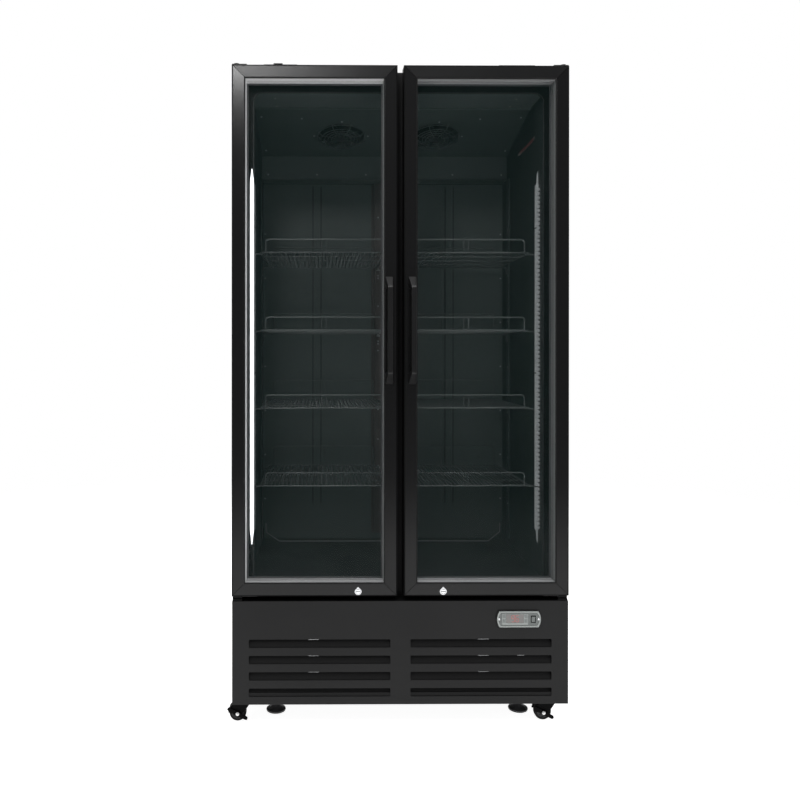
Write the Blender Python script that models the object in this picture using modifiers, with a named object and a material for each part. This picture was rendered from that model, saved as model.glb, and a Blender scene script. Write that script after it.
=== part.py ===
"""Glass door merchandiser: an upright display refrigerator with two glass doors, on casters.

Blender 4.5. Metres, +Z up, the doors face -Y and +X is to the right as seen from the front.
The origin is on the floor, under the middle of the whole object, handles included.
Each sub-part is one closed solid in its own object, and a moving one turns about its origin.
"""
import math

import bmesh
import bpy
from mathutils import Matrix, Vector

# ---- Driving dimensions ------------------------------------------------------------------
WIDTH = 1.000                 # across the cabinet
BODY_DEPTH = 0.700            # door front to cabinet back
HANDLE_REACH = 0.045          # how far the handles stand proud of the doors
BASE_Z = 0.075                # underside of the base, which is the height of the casters
PANEL_TOP_Z = 0.382           # top of the front base panel
CABINET_TOP_Z = 1.967
DOOR_BOTTOM_Z = 0.397
DOOR_TOP_Z = 1.969
TOP_Z = 1.978                 # top of the hinge caps, the highest point
DOOR_GAP = 0.019              # between the two doors
DOOR_THICKNESS = 0.046
GASKET_THICKNESS = 0.012      # fills the space from the door to the cabinet front
FRAME_WIDTH = 0.040           # the visible width of a door's stiles and rails
WALL = 0.045                  # insulated walls, skin included
GAP = 0.0003                  # clearance between neighbours that touch on the real object

HALF = WIDTH / 2
DOOR_FRONT_Y = -(BODY_DEPTH + HANDLE_REACH) / 2 + HANDLE_REACH
BACK_Y = DOOR_FRONT_Y + BODY_DEPTH

# ---- Cabinet -----------------------------------------------------------------------------
CABINET_FRONT = DOOR_THICKNESS + GASKET_THICKNESS     # depths are measured from the door front
SKIN = 0.0015                 # outer steel skin
INSIDE_SKIN = HALF - SKIN - GAP
WALL_INNER_X = HALF - WALL
CEILING_Z = 1.920
FLOOR_Z = 0.415
BACK_WALL_DEPTH = 0.655       # front of the insulated back
FRAME_RING = 0.004            # thickness of the front frame's face
RING_INNER_X = 0.438
RING_SILL_Z = 0.425
RING_HEAD_Z = 1.905
RING_CORNER = 0.025
MULLION_HALF = 0.040
MULLION_BACK = 0.103

# ---- Doors -------------------------------------------------------------------------------
EDGE_ROUND = 0.0035
HINGE_X = HALF - 0.0125       # hinge pins
HINGE_DEPTH = DOOR_THICKNESS / 2
PIN_R = 0.0045
PIN_BORE_R = 0.0052
GLASS_FRONT = 0.0025          # thickness of the lip in front of the glass
GLASS_BACK = 0.0265
GLASS_BITE = 0.010            # how far the glass runs into the frame
GASKET_WIDTH = 0.018
GASKET_OUTER_X = 0.486
GASKET_INNER_X = 0.018
GASKET_BOTTOM_Z = 0.403
GASKET_TOP_Z = 1.950
LOCK_X = 0.126
LOCK_Z = 0.412
HANDLE_X = 0.0345
HANDLE_Z = 1.184
HANDLE_LENGTH = 0.320

# ---- Inside ------------------------------------------------------------------------------
DUCT_DEPTH = 0.636            # front of the rear duct panel
DUCT_TOP_Z = 1.757
SHELF_FRONT = 0.165
SHELF_LENGTH = 0.435          # front to back
SHELF_INNER_X = 0.022
SHELF_OUTER_X = 0.430
SHELF_TOP_Z = 1.440
SHELF_PITCH = 0.247
FRONT_GUARD = 0.040
REAR_GUARD = 0.072
SHELF_THICKNESS = 0.006
SHELF_COUNT = 4
COVER_FRONT = (0.256, 1.9185)     # depth and height of the evaporator cover's two bends
COVER_REAR = (0.560, 1.845)
COVER_SKIRT_Z = 1.760
FAN_X = 0.165
FAN_DEPTH = 0.420
FAN_OPENING_R = 0.080
FAN_BLADE_R = 0.072

# ---- Base --------------------------------------------------------------------------------
SHEET = 0.002
PANEL_HALF = 0.499
PANEL_FRONT = 0.004
SLOT_TOPS = (0.268, 0.2197, 0.1713, 0.123)
SLOT_HEIGHT = 0.024
SLOT_NEAR_X = 0.030
SLOT_FAR_X = 0.449
CONTROL_X = 0.351
CONTROL_Z = 0.328
SWITCH_X = CONTROL_X + 0.043
CASTER_DEPTH = 0.070
FRONT_CASTER_X = 0.464
REAR_CASTER_X = 0.468
CASTER_TRAIL = 0.024
WHEEL_R = 0.026
WHEEL_SIDES = 24
PEDAL_SLOPE = math.radians(28)
FOOT_X = 0.374
FOOT_DEPTH = 0.100
FOOT_R = 0.030
FOOT_Z = 0.024
RIGHT_FOOT_DROP = 0.008       # how much further down the right foot is screwed

BLACK_STEEL = ("black_steel", (0.018, 0.018, 0.019), 0.38, 0.3)
BLACK_ALUMINIUM = ("black_aluminium", (0.016, 0.016, 0.017), 0.30, 0.4)
BLACK_PLASTIC = ("black_plastic", (0.012, 0.012, 0.012), 0.45, 0.0)
LINER = ("dark_liner", (0.045, 0.055, 0.055), 0.50, 0.0)
GLASS = ("glass", (0.10, 0.16, 0.15), 0.05, 0.0)
RUBBER = ("rubber", (0.010, 0.010, 0.010), 0.75, 0.0)
BRIGHT_STEEL = ("bright_steel", (0.62, 0.63, 0.64), 0.28, 1.0)
ALUMINIUM = ("aluminium", (0.70, 0.71, 0.72), 0.40, 1.0)
LENS = ("light_lens", (0.90, 0.92, 0.95), 0.35, 0.0)
GREY_PLASTIC = ("grey_plastic", (0.45, 0.47, 0.48), 0.35, 0.0)
DARK_WIRE = ("coated_wire", (0.10, 0.11, 0.11), 0.40, 0.2)


# ---- Tools -------------------------------------------------------------------------------
def clear_scene():
    for old in list(bpy.data.objects):
        bpy.data.objects.remove(old, do_unlink=True)


def new_collection(name):
    made = bpy.data.collections.new(name)
    bpy.context.scene.collection.children.link(made)
    return made


def at(depth):
    """The y of a point that lies this deep behind the front of the doors."""
    return DOOR_FRONT_Y + depth


def material(spec):
    name, colour, roughness, metallic = spec
    made = bpy.data.materials.get(name)
    if made is None:
        made = bpy.data.materials.new(name)
        made.use_nodes = True
        shader = made.node_tree.nodes["Principled BSDF"]
        shader.inputs["Base Color"].default_value = (*colour, 1.0)
        shader.inputs["Roughness"].default_value = roughness
        shader.inputs["Metallic"].default_value = metallic
    return made


def move_to(obj, collection):
    for old in list(obj.users_collection):
        old.objects.unlink(obj)
    collection.objects.link(obj)


def finish(obj, name, spec, smooth=False):
    """Name a sub-part, give it its material and put it in the object's collection."""
    obj.name = name
    obj.data.name = name
    obj.data.materials.clear()
    obj.data.materials.append(material(spec))
    if smooth:
        obj.data.shade_smooth()
        obj.data.set_sharp_from_angle(angle=math.radians(35))
    move_to(obj, PARTS)
    return obj


def as_tool(obj):
    """Put a cutting or joining shape with the cutters, out of the render."""
    obj.hide_render = True
    obj.display_type = "WIRE"
    move_to(obj, CUTTERS)
    return obj


def combine(target, tool, operation):
    step = target.modifiers.new(operation.title(), "BOOLEAN")
    step.operation = operation
    step.solver = "EXACT"
    step.object = as_tool(tool)


def cut(target, *tools):
    for tool in tools:
        combine(target, tool, "DIFFERENCE")


def join(target, *tools):
    for tool in tools:
        combine(target, tool, "UNION")


def box(low, high):
    """A box between two corners, with its size in its mesh."""
    low, high = Vector(low), Vector(high)
    bpy.ops.mesh.primitive_cube_add(size=1, location=(low + high) / 2)
    made = bpy.context.active_object
    made.data.transform(Matrix.Diagonal((*(high - low), 1.0)))
    return made


def mirrored_x(near, far, side):
    """The low and high x of a span given by its distances from the middle plane."""
    return (near, far) if side > 0 else (-far, -near)


def side_box(side, near_x, far_x, low_yz, high_yz):
    low_x, high_x = mirrored_x(near_x, far_x, side)
    return box((low_x, *low_yz), (high_x, *high_yz))


def rod(radius, start, end, sides=24):
    """A closed cylinder from one point to another."""
    start, end = Vector(start), Vector(end)
    along = end - start
    bpy.ops.mesh.primitive_cylinder_add(
        vertices=sides, radius=radius, depth=along.length, location=(start + end) / 2,
        rotation=along.to_track_quat("Z", "Y").to_euler())
    return bpy.context.active_object


def bevel(obj, width, segments=2):
    step = obj.modifiers.new("Bevel", "BEVEL")
    step.width = width
    step.segments = segments
    step.limit_method = "ANGLE"
    return obj


def applied(obj):
    """Replace an object by the mesh that its curve or its modifiers make, with its place in
    the mesh and its origin at the world's."""
    graph = bpy.context.evaluated_depsgraph_get()
    mesh = bpy.data.meshes.new_from_object(obj.evaluated_get(graph))
    work = bmesh.new()
    work.from_mesh(mesh)
    bmesh.ops.remove_doubles(work, verts=work.verts, dist=0.000001)
    work.to_mesh(mesh)
    work.free()
    made = bpy.data.objects.new(obj.name, mesh)
    bpy.context.scene.collection.objects.link(made)
    mesh.transform(obj.matrix_world)
    bpy.data.objects.remove(obj, do_unlink=True)
    return made


def place(obj, location, rotation=(0.0, 0.0, 0.0)):
    obj.location = location
    obj.rotation_euler = rotation
    bpy.context.view_layer.update()
    return obj


def flat(outlines, thickness):
    """A plate in the local XY plane, centred on it: the first outline is its edge and the
    others are holes."""
    curve = bpy.data.curves.new("outline", "CURVE")
    curve.dimensions = "2D"
    curve.fill_mode = "BOTH"
    curve.extrude = thickness / 2
    for outline in outlines:
        spline = curve.splines.new("POLY")
        spline.points.add(len(outline) - 1)
        for point, (x, y) in zip(spline.points, outline):
            point.co = (x, y, 0.0, 1.0)
        spline.use_cyclic_u = True
    made = bpy.data.objects.new("outline", curve)
    bpy.context.scene.collection.objects.link(made)
    bpy.context.view_layer.update()
    return applied(made)


def rectangle(low, high, radius=0.0, steps=4):
    """The points round a rectangle, with rounded corners when a radius is given."""
    (x0, y0), (x1, y1) = low, high
    if radius == 0.0:
        return [(x0, y0), (x1, y0), (x1, y1), (x0, y1)]
    corners = [(x1 - radius, y0 + radius, -90), (x1 - radius, y1 - radius, 0),
               (x0 + radius, y1 - radius, 90), (x0 + radius, y0 + radius, 180)]
    points = []
    for cx, cy, start in corners:
        points += arc((cx, cy), radius, start, start + 90, steps)
    return points


def arc(centre, radius, start, end, steps):
    """Points on an arc, with its angles in degrees."""
    points = []
    for i in range(steps + 1):
        turn = math.radians(start + (end - start) * i / steps)
        points.append((centre[0] + radius * math.cos(turn), centre[1] + radius * math.sin(turn)))
    return points


def ribbon(path, thickness):
    """The outline of a bent sheet seen from its end: the path thickened to both sides."""
    sides = ([], [])
    for i, point in enumerate(path):
        here = Vector(point)
        before = (here - Vector(path[i - 1])).normalized() if i > 0 else None
        after = (Vector(path[i + 1]) - here).normalized() if i + 1 < len(path) else None
        first = before or after
        second = after or before
        across = Vector((-(first.y + second.y), first.x + second.x)).normalized()
        reach = thickness / 2 / across.dot(Vector((-first.y, first.x)))
        sides[0].append(tuple(here + across * reach))
        sides[1].append(tuple(here - across * reach))
    return sides[0] + sides[1][::-1]


ALONG_X = Matrix(((0, 0, 1, 0), (1, 0, 0, 0), (0, 1, 0, 0), (0, 0, 0, 1)))
ALONG_Y = Matrix(((1, 0, 0, 0), (0, 0, -1, 0), (0, 1, 0, 0), (0, 0, 0, 1)))


def sheet_along_x(outlines, thickness, x=0.0):
    """A plate whose outline is in depth and height, and whose thickness is along X."""
    made = flat([[(at(depth), z) for depth, z in outline] for outline in outlines], thickness)
    made.data.transform(Matrix.Translation((x, 0, 0)) @ ALONG_X)
    return made


def sheet_along_y(outlines, front, back):
    """A plate whose outline is in x and z, between two depths."""
    made = flat(outlines, back - front)
    made.data.transform(Matrix.Translation((0, at((front + back) / 2), 0)) @ ALONG_Y)
    return made


def turned(profile, steps):
    """A solid turned about Z: the profile's (radius, z) points run top to bottom."""
    mesh = bpy.data.meshes.new("profile")
    points = [(radius, 0.0, z) for radius, z in profile]
    mesh.from_pydata(points, [(i, i + 1) for i in range(len(points) - 1)], [])
    made = bpy.data.objects.new("profile", mesh)
    bpy.context.scene.collection.objects.link(made)
    screw = made.modifiers.new("Screw", "SCREW")
    screw.steps = steps
    screw.render_steps = steps
    screw.use_merge_vertices = True
    screw.merge_threshold = 0.000001
    screw.use_normal_calculate = False
    bpy.context.view_layer.update()
    return applied(made)


def set_origin(obj, point):
    """Move an object's origin to a point, and leave its shape where it is."""
    shift = obj.matrix_world.inverted() @ Vector(point)
    obj.data.transform(Matrix.Translation(-shift))
    obj.matrix_world = obj.matrix_world @ Matrix.Translation(shift)
    bpy.context.view_layer.update()


# ---- Cabinet -----------------------------------------------------------------------------
def make_side_skins():
    for side, word in ((-1, "left"), (1, "right")):
        skin = side_box(side, HALF - SKIN, HALF, (at(CABINET_FRONT), BASE_Z),
                        (BACK_Y, CABINET_TOP_Z))
        finish(skin, f"side_panel_{word}", BLACK_STEEL)


def make_insulated_walls():
    front, back = at(CABINET_FRONT + FRAME_RING + GAP), at(BACK_WALL_DEPTH - GAP)
    low_z, high_z = FLOOR_Z + GAP, CEILING_Z - GAP
    for side, word in ((-1, "left"), (1, "right")):
        wall = side_box(side, WALL_INNER_X, INSIDE_SKIN, (front, low_z), (back, high_z))
        finish(wall, f"insulated_wall_{word}", LINER)
    roof = box((-INSIDE_SKIN, front, CEILING_Z), (INSIDE_SKIN, back, CABINET_TOP_Z))
    finish(roof, "insulated_roof", BLACK_STEEL)
    floor = box((-INSIDE_SKIN, front, PANEL_TOP_Z), (INSIDE_SKIN, back, FLOOR_Z))
    finish(floor, "insulated_floor", LINER)
    rear = box((-INSIDE_SKIN, at(BACK_WALL_DEPTH), PANEL_TOP_Z),
               (INSIDE_SKIN, BACK_Y, CABINET_TOP_Z))
    finish(rear, "insulated_back", BLACK_STEEL)


def make_front_frame():
    """The frame that the gaskets close on: a ring with two windows and a centre mullion."""
    edge = rectangle((-INSIDE_SKIN, PANEL_TOP_Z + GAP), (INSIDE_SKIN, CABINET_TOP_Z))
    windows = []
    for side in (-1, 1):
        low_x, high_x = mirrored_x(MULLION_HALF, RING_INNER_X, side)
        windows.append(rectangle((low_x, RING_SILL_Z), (high_x, RING_HEAD_Z), RING_CORNER))
    frame = sheet_along_y([edge, *windows], CABINET_FRONT, CABINET_FRONT + FRAME_RING)
    overlap = 0.0005
    mullion = box((-MULLION_HALF + overlap, at(CABINET_FRONT + overlap), FLOOR_Z + GAP),
                  (MULLION_HALF - overlap, at(MULLION_BACK), CEILING_Z - GAP))
    join(frame, mullion)
    finish(frame, "front_frame", BLACK_PLASTIC)


def make_duct_panel():
    """The sheet in front of the rear air duct, with two pairs of pressed ribs."""
    half_x, chamfer, low_z = WALL_INNER_X - 0.001, 0.030, FLOOR_Z + 0.015
    edge = [(-half_x, low_z + chamfer), (-half_x + chamfer, low_z), (half_x - chamfer, low_z),
            (half_x, low_z + chamfer), (half_x, DUCT_TOP_Z), (-half_x, DUCT_TOP_Z)]
    panel = sheet_along_y([edge], DUCT_DEPTH, DUCT_DEPTH + SHEET)
    rib_half, rib_low_z, rib_rise = 0.004, 0.548, 0.004
    for x in (-0.265, -0.225, 0.225, 0.265):
        rib = box((x - rib_half, at(DUCT_DEPTH - rib_rise), rib_low_z),
                  (x + rib_half, at(DUCT_DEPTH + 0.001), DUCT_TOP_Z - 0.010))
        join(panel, rib)
    finish(panel, "rear_duct_panel", LINER)


def make_shelf_supports():
    """The rear centre post and the slotted strips on the side walls that carry the shelves."""
    half_x, rise, low_z = 0.045, 0.012, 0.440
    back = DUCT_DEPTH - 0.0045
    path = [(-half_x, back), (-half_x + 0.012, back), (-half_x + 0.012, back - rise),
            (half_x - 0.012, back - rise), (half_x - 0.012, back), (half_x, back)]
    post = flat([[(x, at(depth)) for x, depth in ribbon(path, SHEET)]], DUCT_TOP_Z - low_z)
    post.data.transform(Matrix.Translation((0, 0, (DUCT_TOP_Z + low_z) / 2)))
    finish(post, "rear_center_post", LINER)
    depth, half_width, slot_half, pitch = 0.543, 0.015, 0.003, 0.097
    thickness = 0.005
    for side, word in ((-1, "left"), (1, "right")):
        edge = rectangle((depth - half_width, low_z), (depth + half_width, DUCT_TOP_Z))
        slots = []
        for i in range(13):
            z = low_z + 0.040 + i * pitch
            slots.append(rectangle((depth - slot_half, z), (depth + slot_half, z + 0.030)))
        x = side * (WALL_INNER_X - GAP - thickness / 2)
        strip = sheet_along_x([edge, *slots], thickness, x)
        finish(strip, f"shelf_strip_{word}", LINER)


def make_evaporator():
    """The coil under the ceiling, its bent cover and the two fans in the cover's openings."""
    half_x = WALL_INNER_X - 0.003
    flange_depth = COVER_FRONT[0] - 0.016
    path = [(flange_depth, COVER_FRONT[1]), COVER_FRONT, COVER_REAR,
            (COVER_REAR[0], COVER_SKIRT_Z), (COVER_REAR[0] + 0.012, COVER_SKIRT_Z)]
    cover = sheet_along_x([ribbon(path, 0.0015)], 2 * half_x)
    fan_axis, centre_z = evaporator_fan_axis()
    for side in (-1, 1):
        centre = Vector((side * FAN_X, at(FAN_DEPTH), centre_z))
        cut(cover, rod(FAN_OPENING_R, centre - fan_axis * 0.03, centre + fan_axis * 0.03, 32))
    finish(cover, "evaporator_cover", LINER)
    coil = finned_block((-0.400, at(0.566), 1.765), (0.400, at(0.628), 1.915), 0.025, 0.012)
    finish(coil, "evaporator_coil", ALUMINIUM)
    rise = 0.008
    for side, word in ((-1, "left"), (1, "right")):
        fan = rotor(FAN_BLADE_R, 0.022, 0.024, 0.036, 5, math.radians(26))
        centre = Vector((side * FAN_X, at(FAN_DEPTH), centre_z)) - fan_axis * rise
        place(fan, centre, fan_axis.to_track_quat("Z", "Y").to_euler())
        finish(fan, f"evaporator_fan_{word}", BLACK_PLASTIC)


def evaporator_fan_axis():
    """The normal of the cover's slope, pointing down and forward, and the height on it."""
    run = COVER_REAR[0] - COVER_FRONT[0]
    fall = COVER_FRONT[1] - COVER_REAR[1]
    normal = Vector((0, -fall, -run)).normalized()
    return normal, COVER_FRONT[1] - fall * (FAN_DEPTH - COVER_FRONT[0]) / run


def finned_block(low, high, pitch, fin):
    """A coil block: upright fins in front of a solid back."""
    block = box(low, high)
    back = 0.008
    groove = box((low[0] + fin, low[1] - 0.01, low[2] - 0.01),
                 (low[0] + pitch, high[1] - back, high[2] + 0.01))
    row = groove.modifiers.new("Array", "ARRAY")
    row.count = int((high[0] - low[0] - fin) / pitch)
    row.use_relative_offset = False
    row.use_constant_offset = True
    row.constant_offset_displace = (pitch, 0.0, 0.0)
    cut(block, groove)
    return block


def rotor(radius, hub_r, hub_height, chord, blades, pitch_angle):
    """A fan: a hub with flat blades set at an angle, turning about the local Z."""
    fan = rod(hub_r, (0, 0, -hub_height / 2), (0, 0, hub_height / 2))
    root = hub_r * 0.8
    for i in range(blades):
        blade = box((root, -chord / 2, -0.001), (radius - 0.003, chord / 2, 0.001))
        turn = Matrix.Rotation(2 * math.pi * i / blades, 4, "Z")
        blade.matrix_world = turn @ Matrix.Rotation(pitch_angle, 4, "X") @ blade.matrix_world
        join(fan, blade)
    bpy.context.view_layer.update()
    made = applied(fan)
    return made


def make_lights():
    """A light strip on each side wall, with tapered ends."""
    front, back, low_z, high_z, taper, thickness = 0.130, 0.170, 0.514, 1.694, 0.030, 0.010
    edge = [(front, low_z + taper), (front + 0.014, low_z), (back - 0.014, low_z),
            (back, low_z + taper), (back, high_z - taper), (back - 0.014, high_z),
            (front + 0.014, high_z), (front, high_z - taper)]
    for side, word in ((-1, "left"), (1, "right")):
        strip = sheet_along_x([edge], thickness, side * (WALL_INNER_X - GAP - thickness / 2))
        finish(strip, f"light_strip_{word}", LENS)


def make_shelf_mesh():
    """One shelf about its own origin, which is the middle of the deck's top face."""
    half_x = (SHELF_OUTER_X - SHELF_INNER_X) / 2
    half_y = SHELF_LENGTH / 2
    border, bars, bar = 0.006, 6, 0.006
    pitch = (2 * half_x - 2 * border - bar) / bars
    holes = []
    for i in range(bars):
        left = -half_x + border + bar / 2 + i * pitch
        for low_y, high_y in ((-half_y + border, -0.003), (0.003, half_y - border)):
            holes.append(rectangle((left + bar / 2, low_y), (left + pitch - bar / 2, high_y)))
    edge = rectangle((-half_x, -half_y), (half_x, half_y), 0.010, 2)
    deck = flat([edge, *holes], SHELF_THICKNESS)
    deck.data.transform(Matrix.Translation((0, 0, -SHELF_THICKNESS / 2)))
    for y, height in ((-half_y + 0.003, FRONT_GUARD), (half_y - 0.003, REAR_GUARD)):
        join(deck, guard(half_x - 0.020, y, height))
    return applied(deck)


def guard(half_x, y, height):
    """The rail along a shelf's edge: a hoop with a strut in its middle."""
    wire, root, strut_half = 0.005, 0.003, 0.010
    rail = box((-half_x, y - wire / 2, -root), (half_x, y + wire / 2, height))
    for low, high in ((-half_x + wire, -strut_half), (strut_half, half_x - wire)):
        cut(rail, box((low, y - wire, 0.0012), (high, y + wire, height - wire)))
    bpy.context.view_layer.update()
    return applied(rail)


def make_shelves():
    pattern = make_shelf_mesh()
    mesh = pattern.data
    bpy.data.objects.remove(pattern, do_unlink=True)
    middle_x = (SHELF_INNER_X + SHELF_OUTER_X) / 2
    middle_y = at(SHELF_FRONT + SHELF_LENGTH / 2)
    for side, word in ((-1, "left"), (1, "right")):
        for level in range(SHELF_COUNT):
            shelf = bpy.data.objects.new("shelf", mesh)
            shelf.location = (side * middle_x, middle_y, SHELF_TOP_Z - level * SHELF_PITCH)
            finish(shelf, f"shelf_{word}_{level + 1}", DARK_WIRE)
    mesh.name = "shelf"


# ---- Doors -------------------------------------------------------------------------------
def door_span(side, inset):
    """The x and z limits of a door, drawn in by an inset on all four edges."""
    low_x, high_x = mirrored_x(DOOR_GAP / 2, HALF, side)
    return (low_x + inset, high_x - inset), (DOOR_BOTTOM_Z + inset, DOOR_TOP_Z - inset)


def door_box(side, inset, front, back):
    (low_x, high_x), (low_z, high_z) = door_span(side, inset)
    return box((low_x, at(front), low_z), (high_x, at(back), high_z))


def make_door(side, word):
    hinge = (side * HINGE_X, at(HINGE_DEPTH), (DOOR_BOTTOM_Z + DOOR_TOP_Z) / 2)
    frame = bevel(door_box(side, 0.0, 0.0, DOOR_THICKNESS), EDGE_ROUND)
    cut(frame, door_box(side, FRAME_WIDTH, -0.01, DOOR_THICKNESS + 0.01),
        door_box(side, FRAME_WIDTH - GLASS_BITE, GLASS_FRONT, GLASS_BACK))
    pin_depth = 0.020
    for z in (DOOR_BOTTOM_Z, DOOR_TOP_Z):
        inward = pin_depth if z == DOOR_BOTTOM_Z else -pin_depth
        cut(frame, rod(PIN_BORE_R, (hinge[0], hinge[1], z - inward), (hinge[0], hinge[1], z + inward)))
    lock_bore_r, lock_bore_depth = 0.0092, 0.022
    lock = (side * LOCK_X, LOCK_Z)
    cut(frame, rod(lock_bore_r, (lock[0], at(-0.01), lock[1]), (lock[0], at(lock_bore_depth), lock[1])))
    finish(frame, f"door_frame_{word}", BLACK_ALUMINIUM)
    set_origin(frame, hinge)

    glass = door_box(side, FRAME_WIDTH - GLASS_BITE + GAP, GLASS_FRONT + GAP, GLASS_BACK - GAP)
    finish(glass, f"door_glass_{word}", GLASS)
    set_origin(glass, hinge)

    low_x, high_x = mirrored_x(GASKET_INNER_X, GASKET_OUTER_X, side)
    outer = rectangle((low_x, GASKET_BOTTOM_Z), (high_x, GASKET_TOP_Z))
    inner = rectangle((low_x + GASKET_WIDTH, GASKET_BOTTOM_Z + GASKET_WIDTH),
                      (high_x - GASKET_WIDTH, GASKET_TOP_Z - GASKET_WIDTH))
    gasket = sheet_along_y([outer, inner], DOOR_THICKNESS + GAP, CABINET_FRONT - GAP)
    finish(gasket, f"door_gasket_{word}", RUBBER)
    set_origin(gasket, hinge)

    handle = handle_bar()
    place(handle, (side * HANDLE_X, at(-GAP), HANDLE_Z))
    finish(handle, f"door_handle_{word}", BLACK_PLASTIC, smooth=True)
    set_origin(handle, hinge)

    make_lock(side, word)


def handle_bar():
    """A bow handle about its own middle: wide feet on the door, and a narrower grip."""
    reach, grip, foot, slope = HANDLE_REACH - GAP, 0.014, 0.030, 0.034
    half_z = HANDLE_LENGTH / 2
    outer = [(0, half_z), (-reach, half_z - slope), (-reach, -half_z + slope), (0, -half_z)]
    inner_z = half_z - foot
    inner = [(0, -inner_z), (-reach + grip, -inner_z + slope / 2 + 0.008),
             (-reach + grip, inner_z - slope / 2 - 0.008), (0, inner_z)]
    front_width, foot_width = 0.014, 0.024
    bar = flat([[(y, z) for y, z in outer + inner]], front_width)
    bar.data.transform(ALONG_X)
    for vertex in bar.data.vertices:
        toward_door = 1 + vertex.co.y / reach
        vertex.co.x *= 1 + (foot_width / front_width - 1) * toward_door
    return bevel(bar, 0.003)


def make_lock(side, word):
    """A key lock in the bottom rail: a round face with a raised tip, on a barrel."""
    pivot = (side * LOCK_X, at(0), LOCK_Z)
    face_r, barrel_r, barrel_end = 0.0105, 0.0087, 0.021
    tip = [(0, 0.0150), *[(x, z) for x, z in arc((0, 0), face_r, 60, -240, 20)]]
    lock = flat([tip[::-1]], 0.003)
    lock.data.transform(Matrix.Translation((side * LOCK_X, at(-GAP - 0.0015), LOCK_Z)) @ ALONG_Y)
    join(lock, rod(barrel_r, (pivot[0], at(-0.002), LOCK_Z), (pivot[0], at(barrel_end), LOCK_Z)))
    finish(lock, f"door_lock_{word}", BRIGHT_STEEL)
    set_origin(lock, pivot)


def make_hinges():
    """Pins above and below each door, on plates fixed to the cabinet."""
    plate, cap_r, y_pin = 0.004, 0.009, at(HINGE_DEPTH)
    for side, word in ((-1, "left"), (1, "right")):
        x_pin = side * HINGE_X
        low_z = DOOR_TOP_Z + 0.0005
        top = side_box(side, 0.456, HALF, (at(0.008), low_z), (at(0.094), low_z + plate))
        pad = side_box(side, 0.458, INSIDE_SKIN, (at(0.064), CABINET_TOP_Z + GAP),
                       (at(0.092), low_z + 0.001))
        pin = rod(PIN_R, (x_pin, y_pin, DOOR_TOP_Z - 0.018), (x_pin, y_pin, low_z + 0.001))
        cap = rod(cap_r, (x_pin, y_pin, low_z + plate - 0.001), (x_pin, y_pin, TOP_Z))
        join(top, pad, pin, cap)
        finish(top, f"top_hinge_{word}", BLACK_STEEL)
        low_z = PANEL_TOP_Z + GAP
        bottom = side_box(side, 0.470, 0.498, (at(0.008), low_z),
                          (at(CABINET_FRONT - GAP), low_z + plate))
        flange = side_box(side, 0.4705, 0.4975, (at(0.053), low_z + 0.001),
                          (at(CABINET_FRONT - GAP), DOOR_BOTTOM_Z - 0.0008))
        pin = rod(PIN_R, (x_pin, y_pin, low_z + 0.001), (x_pin, y_pin, DOOR_BOTTOM_Z + 0.018))
        join(bottom, flange, pin)
        finish(bottom, f"bottom_hinge_{word}", BLACK_STEEL)


# ---- Base --------------------------------------------------------------------------------
def make_front_panel():
    """The folded base panel with its air slots and the window for the controller."""
    top_z, back = PANEL_TOP_Z, CABINET_FRONT - GAP
    panel = box((-PANEL_HALF, at(PANEL_FRONT), BASE_Z), (PANEL_HALF, at(back), top_z))
    inner = PANEL_HALF - SHEET
    cut(panel, box((-inner, at(PANEL_FRONT + SHEET), BASE_Z - 0.01),
                   (inner, at(back + 0.01), top_z - SHEET)))
    for slot_top in SLOT_TOPS:
        for side in (-1, 1):
            cut(panel, side_box(side, SLOT_NEAR_X, SLOT_FAR_X,
                                (at(-0.01), slot_top - SLOT_HEIGHT), (at(0.012), slot_top)))
    cut(panel, box((CONTROL_X - 0.058, at(-0.01), CONTROL_Z - 0.0185),
                   (CONTROL_X + 0.058, at(0.012), CONTROL_Z + 0.0185)))
    finish(panel, "front_panel", BLACK_STEEL)


def make_rear_grille():
    """The louvred sheet that closes the back of the base."""
    low_z, high_z = BASE_Z + GAP, PANEL_TOP_Z - GAP
    edge = rectangle((-INSIDE_SKIN, low_z), (INSIDE_SKIN, high_z))
    slots = []
    for row in range(5):
        z = low_z + 0.060 + row * 0.042
        for low_x in (-0.430, -0.130, 0.170):
            slots.append(rectangle((low_x, z), (low_x + 0.260, z + 0.014)))
    grille = sheet_along_y([edge, *slots], BODY_DEPTH - SHEET, BODY_DEPTH)
    finish(grille, "rear_grille", BLACK_STEEL)


def make_base_tray():
    """The chassis tray, with the caster plates and the holes of the levelling feet."""
    half_x = PANEL_HALF - SHEET - GAP
    front, back, wall, rim_z = PANEL_FRONT + SHEET + GAP, BODY_DEPTH - SHEET - GAP, 0.0025, 0.110
    tray = box((-half_x, at(front), BASE_Z), (half_x, at(back), rim_z))
    cut(tray, box((-half_x + wall, at(front + wall), BASE_Z + wall),
                  (half_x - wall, at(back - wall), rim_z + 0.01)))
    plate_half, boss_r, stub_r = 0.028, 0.019, 0.004
    for x, depth, _, _ in caster_places():
        y = at(depth)
        join(tray, box((x - plate_half, y - plate_half, 0.070),
                       (x + plate_half, y + plate_half, BASE_Z + 0.001)),
             rod(boss_r, (x, y, 0.064), (x, y, 0.071), 16),
             rod(stub_r, (x, y, 0.0565), (x, y, 0.065), 12))
    for side in (-1, 1):
        x, y = side * FOOT_X, at(FOOT_DEPTH)
        cut(tray, rod(0.0066, (x, y, BASE_Z - 0.01), (x, y, BASE_Z + 0.01), 16))
    finish(tray, "base_tray", BLACK_STEEL)


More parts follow.
